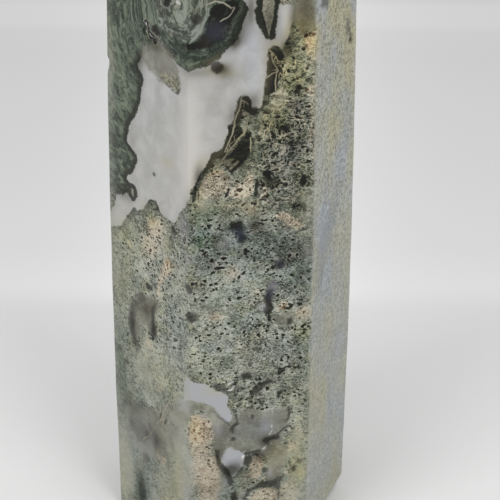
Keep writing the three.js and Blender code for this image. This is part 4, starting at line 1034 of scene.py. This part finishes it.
def start_group(name, inputs, outputs):
    """A shader node group with its named float, vector or colour sockets."""
    tree = bpy.data.node_groups.new(name, "ShaderNodeTree")
    for socket, kind in inputs.items():
        tree.interface.new_socket(socket, in_out="INPUT", socket_type="NodeSocket" + kind)
    for socket, kind in outputs.items():
        tree.interface.new_socket(socket, in_out="OUTPUT", socket_type="NodeSocket" + kind)
    return tree, tree.nodes.new("NodeGroupInput").outputs, tree.nodes.new("NodeGroupOutput").inputs


def use_group(tree, group, **values):
    """One use of a node group, fed with those values, and its outputs."""
    made = tree.nodes.new("ShaderNodeGroup")
    made.node_tree = group
    for name, value in values.items():
        feed(tree, made.inputs[name], value)
    return made.outputs


# Ragged edge: turns a depth in mm into cover, along an edge that noise has frayed.
ragged_inputs = {"Place": "Vector", "Depth": "Float", "Fray": "Float", "Fineness": "Float",
                 "Soft": "Float"}
ragged, given, result = start_group("ragged edge", ragged_inputs, {"Cover": "Float"})
frayed = noise(ragged, given["Place"], given["Fineness"], 3.0, 0.6, 0.4)
shift = calculate(ragged, "MULTIPLY", calculate(ragged, "SUBTRACT", frayed, 0.5), given["Fray"])
depth = calculate(ragged, "ADD", given["Depth"], shift)
start = calculate(ragged, "MULTIPLY", given["Soft"], -1.0)
feed(ragged, result["Cover"], fade(ragged, depth, start, given["Soft"]))

# Moss sponge: a tangle of filaments with small dark holes, some of them with a pale rim.
sponge, given, result = start_group(
    "moss sponge", {"Place": "Vector", "Fineness": "Float"},
    {"Grain": "Float", "Holes": "Float", "Rims": "Float", "Filaments": "Float"})
fine = given["Fineness"]
clump = noise(sponge, given["Place"], calculate(sponge, "MULTIPLY", fine, 0.5), 2.0, 0.6, 0.3)
clumped = calculate(sponge, "MULTIPLY", calculate(sponge, "SUBTRACT", clump, 0.5), 0.9)
pores = noise(sponge, given["Place"], calculate(sponge, "MULTIPLY", fine, 2.5), 1.0, 0.5, 0.5)
pores = calculate(sponge, "ADD", pores, clumped)
dots = sponge.nodes.new("ShaderNodeTexVoronoi")
feed(sponge, dots.inputs["Vector"], given["Place"])
feed(sponge, dots.inputs["Scale"], calculate(sponge, "MULTIPLY", fine, 1.9))
uneven = calculate(sponge, "MULTIPLY_ADD", pores, 0.9, dots.outputs["Distance"])
feed(sponge, result["Holes"], fade(sponge, uneven, 0.72, 0.64))
rims = calculate(sponge, "MULTIPLY", fade(sponge, pores, 0.38, 0.42), fade(sponge, pores, 0.52, 0.44))
feed(sponge, result["Rims"], calculate(sponge, "MULTIPLY", rims, fade(sponge, clump, 0.55, 0.42)))
grain = noise(sponge, given["Place"], calculate(sponge, "MULTIPLY", fine, 2.9), 3.0, 0.8, 1.3)
feed(sponge, result["Grain"], grain)
worms = noise(sponge, given["Place"], calculate(sponge, "MULTIPLY", fine, 2.0), 1.0, 0.5, 1.6)
ridge = calculate(sponge, "ABSOLUTE", calculate(sponge, "SUBTRACT", worms, 0.5))
wide = calculate(sponge, "MULTIPLY_ADD", fine, -0.075, 0.125)
feed(sponge, result["Filaments"], fade(sponge, ridge, wide, 0.015))

# The moss and the cream clumps.
MOSS_DARK = linear(22, 24, 11)
MOSS_LOW = linear(66, 72, 58)
MOSS_MID = linear(118, 124, 111)
MOSS_HIGH = linear(150, 154, 142)
MOSS_PALE = linear(178, 179, 168)
CREAM_LOW = linear(110, 97, 80)
CREAM_HIGH = linear(184, 170, 150)
CREAM_PALE = linear(196, 189, 170)
GAP_BROWN = linear(58, 48, 34)
RUST = linear(108, 78, 52)
LEAF = linear(74, 100, 80)
OLIVE = linear(206, 192, 140)

# The green glass, the tuft and the clear pockets.
GLASS_DARK = linear(30, 42, 32)
GLASS_LIGHT = linear(112, 122, 104)
TUFT_DARK = linear(66, 72, 60)
TUFT_LIGHT = linear(142, 146, 130)
DEEP = linear(9, 10, 4)
DEEP_BROWN = linear(40, 35, 24)
DEEP_BLUE = linear(44, 46, 54)
AMBER = linear(46, 27, 10)

# The milk, its rim, the smoke and what lies in them.
MILK = linear(181, 180, 178)
MILK_PAINTED_GLOW = linear(190, 187, 182)
MILK_LOW = linear(163, 162, 158)
FROST = linear(161, 163, 168)
RIM = linear(32, 38, 26)
BROWN = linear(104, 94, 72)
SMOKE = linear(108, 106, 95)
SMOKE_LIGHT = linear(138, 138, 125)
SHADE = linear(44, 43, 38)
SPECK = linear(60, 58, 44)
SPECK_LIGHT = linear(158, 156, 134)
CRYSTAL = linear(168, 164, 146)
GLINT = linear(205, 205, 202)
THREAD = linear(146, 142, 124)
VEIL = linear(152, 149, 152)

# The haze of the right face, partly its own pale streaks and partly a painted sheen.
HAZE_AND_SHEEN = linear(168, 168, 156)
HAZE_AND_SHEEN_HIGH = linear(181, 181, 169)
HAZE_AND_SHEEN_LOW = linear(91, 92, 82)

# Tints that multiply a colour.
TERRACOTTA = (1.14, 0.9, 0.74, 1.0)
MURK_AND_SHADE = (0.2, 0.19, 0.15, 1.0)
WARM = (1.06, 1.0, 0.72, 1.0)
COOL = (0.9, 0.97, 1.2, 1.0)

# The colours of the moss, by the level of its grain.
MOSS_STOPS = ((0.0, MOSS_DARK), (0.3, MOSS_LOW), (0.55, MOSS_MID), (0.78, MOSS_HIGH), (1.0, MOSS_PALE))

# Noise in grains to the mm, and how much it is drawn together along x, y and z.
FINE_MOSS = 1.0
COARSE_MOSS = 0.6
MOSS_STRETCH = (0.9, 0.9, 1.2)
CLOUDS = 0.45
TINTS = 0.6
FLOW = 0.72
FLOW_STRETCH = (1.1, 1.1, 0.3)
MILK_FRAYS = 2.5
HOLE_FRAYS = 3.0
STREAKS = 2.1
STREAK_STRETCH = (1, 1, 1.25)
VEINS = 0.2
VEIN_STRETCH = (1, 1, 0.6)

# How strongly each noise shows, and the level that it goes up and down from.
MOSS_CONTRAST = 3.2
CLOUD_CONTRAST = 1.3
MOSS_LEVEL = 0.52
TONE_GAIN = 0.42
FLOW_CONTRAST = 4.6
FLOW_LEVEL = 0.62
STREAK_CONTRAST = 2.0
VEIN_CONTRAST = 9.0
MURK_AND_SHADE_GAIN = 1.3
LIGHTER_GAIN = -1.5
IRON_GAIN = 0.5

# The edge of each growth: by how many mm it frays, with how many frays to the mm, and over how
# many mm it is soft.
GLASS_EDGE = (1.0, 0.9, 0.35)
TUFT_EDGE = (0.5, 1.2, 0.12)
SHADE_EDGE = (0.25, 1.6, 0.14)
SPECK_EDGE = (0.9, 1.6, 0.16)
CRYSTAL_EDGE = (0.25, 3.0, 0.08)
AMBER_EDGE = (0.4, 3.0, 0.12)
GLINT_EDGE = (0.15, 3.0, 0.06)
THREAD_HALF_WIDTH = 0.065

# How much of what lies under it a growth leaves out.
CREAM_STRENGTH = 0.75
GLASS_STRENGTH = 0.88
TUFT_STRENGTH = 0.95
RIM_STRENGTH = 0.92
SMOKE_STRENGTH = 0.85
SPECK_STRENGTH = 0.85
CRYSTAL_STRENGTH = 0.9
VEIL_STRENGTH = 0.9
HAZE_AND_SHEEN_STRENGTH = 0.8

POLISH_ROUGHNESS = 0.1
AGATE_IOR = 1.46
AGATE_SPECULAR = 0.25

agate = bpy.data.materials.new("polished agate")
agate.use_nodes = True
tree = agate.node_tree
shader = tree.nodes["Principled BSDF"]
coordinates = tree.nodes.new("ShaderNodeTexCoord")
place = vector(tree, "SCALE", coordinates.outputs["Object"], (0, 0, 0), 1 / MM)
grown = {}
for name in growths:
    reader = tree.nodes.new("ShaderNodeAttribute")
    reader.attribute_name = name
    grown[name] = reader.outputs["Fac"]


def times(value, factor, clamp=False):
    """A value times a factor, kept between 0 and 1 where clamp is set."""
    return calculate(tree, "MULTIPLY", value, factor, clamp=clamp)


def about(value, middle, gain):
    """How far a value is from its middle, times a gain."""
    return times(calculate(tree, "SUBTRACT", value, middle), gain)


def covered(depth, fray, fineness, soft):
    """The cover of a growth, with its edge as in the list of edges above."""
    edge_values = {"Place": place, "Depth": depth, "Fray": fray, "Fineness": fineness, "Soft": soft}
    return use_group(tree, ragged, **edge_values)["Cover"]


def between(value, low, high, dark, light):
    """A colour that goes from dark to light as the value goes from low to high."""
    return blend(tree, fade(tree, value, low, high), dark, light)


def lay(amount, strength, under, over):
    """A growth's colour laid over another, at some strength."""
    return blend(tree, times(amount, strength), under, over)


def soft_light(under, over):
    """A colour that another one tints softly."""
    return blend(tree, 1.0, under, over, "SOFT_LIGHT")


# Moss: a fine and a coarse sponge, coloured by how high each grain stands.
woven = vector(tree, "MULTIPLY", place, MOSS_STRETCH)
fine_moss = use_group(tree, sponge, Place=woven, Fineness=FINE_MOSS)
coarse_moss = use_group(tree, sponge, Place=woven, Fineness=COARSE_MOSS)
coarseness = calculate(tree, "ADD", grown["coarse"], about(fine_moss["Grain"], 0.5, 0.8))
coarse_cover = fade(tree, coarseness, 0.3, 0.7)
moss = {}
for part in ("Grain", "Holes", "Rims", "Filaments"):
    chosen = tree.nodes.new("ShaderNodeMix")
    feed(tree, chosen.inputs[0], coarse_cover)
    feed(tree, chosen.inputs[2], fine_moss[part])
    feed(tree, chosen.inputs[3], coarse_moss[part])
    moss[part] = chosen.outputs[0]
cloud = noise(tree, place, CLOUDS, 3.0, 0.55, 0.5)
grain_level = about(moss["Grain"], 0.5, MOSS_CONTRAST)
level = calculate(tree, "ADD", grain_level, about(cloud, 0.5, CLOUD_CONTRAST))
level = calculate(tree, "MULTIPLY_ADD", level, grown["crisp"], MOSS_LEVEL)
level = calculate(tree, "MULTIPLY_ADD", grown["tone"], TONE_GAIN, level)
colour = colour_ramp(tree, level, *MOSS_STOPS)
colour = blend(tree, times(grown["leaf"], 0.6, clamp=True), colour, soft_light(colour, LEAF))
tint = noise(tree, place, TINTS, 3.0, 0.6, 0.6)
colour = blend(tree, fade(tree, tint, 0.48, 0.66, 0.0, 0.35), colour, soft_light(colour, OLIVE))
colour = blend(tree, fade(tree, tint, 0.46, 0.32, 0.0, 0.4), colour, soft_light(colour, LEAF))

# Cream clumps, terracotta where they are rusty.
warm = between(level, 0.2, 0.8, CREAM_LOW, CREAM_HIGH)
creamy = fade(tree, calculate(tree, "MULTIPLY_ADD", tint, 1.1, grown["cream"]), 0.75, 1.5)
rusty = blend(tree, 1.0, warm, TERRACOTTA, "MULTIPLY")
warm = blend(tree, times(grown["rust"], 0.6, clamp=True), warm, rusty)
colour = lay(creamy, CREAM_STRENGTH, colour, warm)

# The pale rims and filaments of the moss, and its dark gaps.
threaded = times(moss["Filaments"], calculate(tree, "MULTIPLY_ADD", grown["coarse"], 0.5, 0.5))
raised = times(calculate(tree, "ADD", moss["Rims"], threaded), grown["crisp"])
raised = times(raised, calculate(tree, "MULTIPLY_ADD", grown["cream"], 0.5, 0.5), clamp=True)
colour = blend(tree, raised, colour, between(grown["cream"], 0.1, 0.7, MOSS_PALE, CREAM_PALE))
gaps = times(moss["Holes"], times(grown["crisp"], 1.1), clamp=True)
gap_colour = between(grown["cream"], 0.2, 1.0, MOSS_DARK, GAP_BROWN)
gap_colour = between(grown["rust"], 0.2, 0.8, gap_colour, RUST)
colour = blend(tree, gaps, colour, gap_colour)

# Green glass, the clear pockets and the tuft: lines that flow along their edges.
along = vector(tree, "MULTIPLY", place, FLOW_STRETCH)
offset = tree.nodes.new("ShaderNodeCombineXYZ")
feed(tree, offset.inputs[0], times(grown["glass"], 1.2))
feed(tree, offset.inputs[2], times(grown["tuft"], 1.6))
flow_lines = noise(tree, vector(tree, "ADD", along, offset.outputs[0]), FLOW, 5.0, 0.72, 0.9)
flow_base = calculate(tree, "MULTIPLY_ADD", grown["tone"], 0.5, FLOW_LEVEL)
off_base = calculate(tree, "SUBTRACT", flow_lines, 0.5)
flow_level = calculate(tree, "MULTIPLY_ADD", off_base, FLOW_CONTRAST, flow_base)
glass_colour = between(flow_level, 0.0, 1.0, GLASS_DARK, GLASS_LIGHT)
colour = lay(covered(grown["glass"], *GLASS_EDGE), GLASS_STRENGTH, colour, glass_colour)
blurred = calculate(tree, "MULTIPLY_ADD", grown["frost"], 0.5, 0.12)
hollow = covered(grown["deep"], 0.8, 2.2, blurred)
earthy = calculate(tree, "ADD", fade(tree, cloud, 0.45, 0.75, 0.0, 0.5), grown["brown"], clamp=True)
bluish = between(grown["frost"], 0.2, 0.9, blend(tree, earthy, DEEP, DEEP_BROWN), DEEP_BLUE)
bluish = blend(tree, fade(tree, flow_level, 0.6, 1.2, 0.0, 0.15), bluish, GLASS_LIGHT)
colour = blend(tree, hollow, colour, bluish)
off_pockets = calculate(tree, "SUBTRACT", TUFT_STRENGTH, hollow)
tuft_colour = between(flow_level, 0.2, 0.9, TUFT_DARK, TUFT_LIGHT)
colour = lay(covered(grown["tuft"], *TUFT_EDGE), off_pockets, colour, tuft_colour)

# Milk, with a dark line of growth round it, a painted glow near the front-left arris, and smoke that
# drifts over it.
milk_frays = noise(tree, place, MILK_FRAYS, 3.0, 0.6, 0.4)
edge = calculate(tree, "ADD", grown["milk"], about(milk_frays, 0.5, 0.5))
rim = times(fade(tree, edge, -1.1, -0.15), grown["rimmed"], clamp=True)
rim_colour = blend(tree, times(grown["brown"], 0.6, clamp=True), RIM, BROWN)
colour = lay(rim, RIM_STRENGTH, colour, rim_colour)
milk_colour = between(cloud, 0.3, 0.7, MILK_LOW, MILK)
milk_colour = blend(tree, grown["painted_milk_glow"], milk_colour, MILK_PAINTED_GLOW)
milk_colour = between(grown["frost"], 0.1, 0.8, milk_colour, FROST)
milk_colour = blend(tree, fade(tree, edge, 1.0, 0.0, 0.0, 0.35), milk_colour, MILK_LOW)
colour = between(edge, -0.08, 0.1, colour, milk_colour)
smoke_soft = calculate(tree, "MULTIPLY_ADD", grown["brown"], 0.6, 0.2)
smoky = covered(calculate(tree, "ADD", grown["smoke"], 0.1), 0.9, 1.2, smoke_soft)
smoke_level = calculate(tree, "ADD", cloud, about(moss["Grain"], 0.5, 0.45))
smoke_colour = between(smoke_level, 0.35, 0.65, SMOKE, SMOKE_LIGHT)
smoke_colour = blend(tree, times(grown["brown"], 0.7, clamp=True), smoke_colour, BROWN)
colour = lay(smoky, SMOKE_STRENGTH, colour, smoke_colour)

# Small things over all of it: shade, specks, crystals, amber stains, holes, the veil and painted glints.
shade_colour = blend(tree, fade(tree, moss["Grain"], 0.4, 0.8, 0.0, 0.4), SHADE, SMOKE)
colour = lay(covered(grown["shade"], *SHADE_EDGE), SMOKE_STRENGTH, colour, shade_colour)
speck_colour = between(moss["Grain"], 0.4, 0.58, SPECK, SPECK_LIGHT)
colour = lay(covered(grown["specks"], *SPECK_EDGE), SPECK_STRENGTH, colour, speck_colour)
crystal_colour = between(moss["Grain"], 0.3, 0.6, TUFT_DARK, CRYSTAL)
colour = lay(covered(grown["crystal"], *CRYSTAL_EDGE), CRYSTAL_STRENGTH, colour, crystal_colour)
colour = blend(tree, covered(grown["amber"], *AMBER_EDGE), colour, AMBER)
hole_frays = noise(tree, place, HOLE_FRAYS, 2.0, 0.6)
opened = calculate(tree, "ADD", grown["holes"], about(hole_frays, 0.5, 0.22))
ringed = times(fade(tree, opened, -0.22, -0.08), fade(tree, moss["Grain"], 0.42, 0.6, 0.0, 0.6))
colour = blend(tree, ringed, colour, CREAM_PALE)
hole_colour = between(grown["rust"], 0.2, 0.8, DEEP, AMBER)
colour = between(opened, -0.05, 0.05, colour, hole_colour)
colour = blend(tree, times(grown["veil"], VEIL_STRENGTH, clamp=True), colour, VEIL)
colour = blend(tree, covered(grown["glint"], *GLINT_EDGE), colour, GLINT)

# The threads.
thread_width = calculate(tree, "ADD", THREAD_HALF_WIDTH, about(moss["Grain"], 0.5, 0.2))
off_thread = calculate(tree, "SUBTRACT", calculate(tree, "ABSOLUTE", grown["thread_side"]), thread_width)
on_thread = times(fade(tree, off_thread, 0.05, -0.03), fade(tree, grown["thread_gap"], 0.45, 0.3))
colour = blend(tree, on_thread, colour, THREAD)

# The streaked haze of the right face with its painted sheen, the murk with its painted shade and
# sheen, and the tint of iron.
streaks = noise(tree, vector(tree, "MULTIPLY", place, STREAK_STRETCH), STREAKS, 5.0, 0.85, 0.5)
by_coarseness = calculate(tree, "MULTIPLY_ADD", grown["coarse"], 2.0, 1.0)
streaked = times(about(streaks, 0.48, STREAK_CONTRAST), by_coarseness)
haze_and_sheen_colour = between(streaked, -0.5, 0.5, HAZE_AND_SHEEN_LOW, HAZE_AND_SHEEN_HIGH)
colour = blend(tree, times(grown["haze_and_sheen"], HAZE_AND_SHEEN_STRENGTH, clamp=True), colour, haze_and_sheen_colour)
veins = noise(tree, vector(tree, "MULTIPLY", place, VEIN_STRETCH), VEINS, 1.0, 0.45, 0.6)
iron = calculate(tree, "MULTIPLY_ADD", about(veins, 0.5, VEIN_CONTRAST), grown["haze_and_sheen"], grown["warmth"])
darker = blend(tree, 1.0, colour, MURK_AND_SHADE, "MULTIPLY")
lighter = blend(tree, 0.5, colour, HAZE_AND_SHEEN)
pitted = times(times(moss["Holes"], fade(tree, tint, 0.52, 0.68, 0.0, 0.3)), grown["haze_and_sheen"])
dim = calculate(tree, "ADD", times(grown["murk_and_painted_light"], MURK_AND_SHADE_GAIN), pitted, clamp=True)
colour = blend(tree, dim, colour, darker)
colour = blend(tree, times(grown["murk_and_painted_light"], LIGHTER_GAIN, clamp=True), colour, lighter)
warmer = blend(tree, 1.0, colour, WARM, "MULTIPLY")
cooler = blend(tree, 1.0, colour, COOL, "MULTIPLY")
colour = blend(tree, times(iron, IRON_GAIN, clamp=True), colour, warmer)
colour = blend(tree, times(iron, -IRON_GAIN, clamp=True), colour, cooler)
tree.links.new(colour, shader.inputs["Base Color"])
shader.inputs["Roughness"].default_value = POLISH_ROUGHNESS
shader.inputs["IOR"].default_value = AGATE_IOR
shader.inputs["Specular IOR Level"].default_value = AGATE_SPECULAR
stone_mesh.materials.append(agate)

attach(stone, "root")
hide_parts("obelisk")

bpy.context.scene.view_settings.view_transform = "Standard"
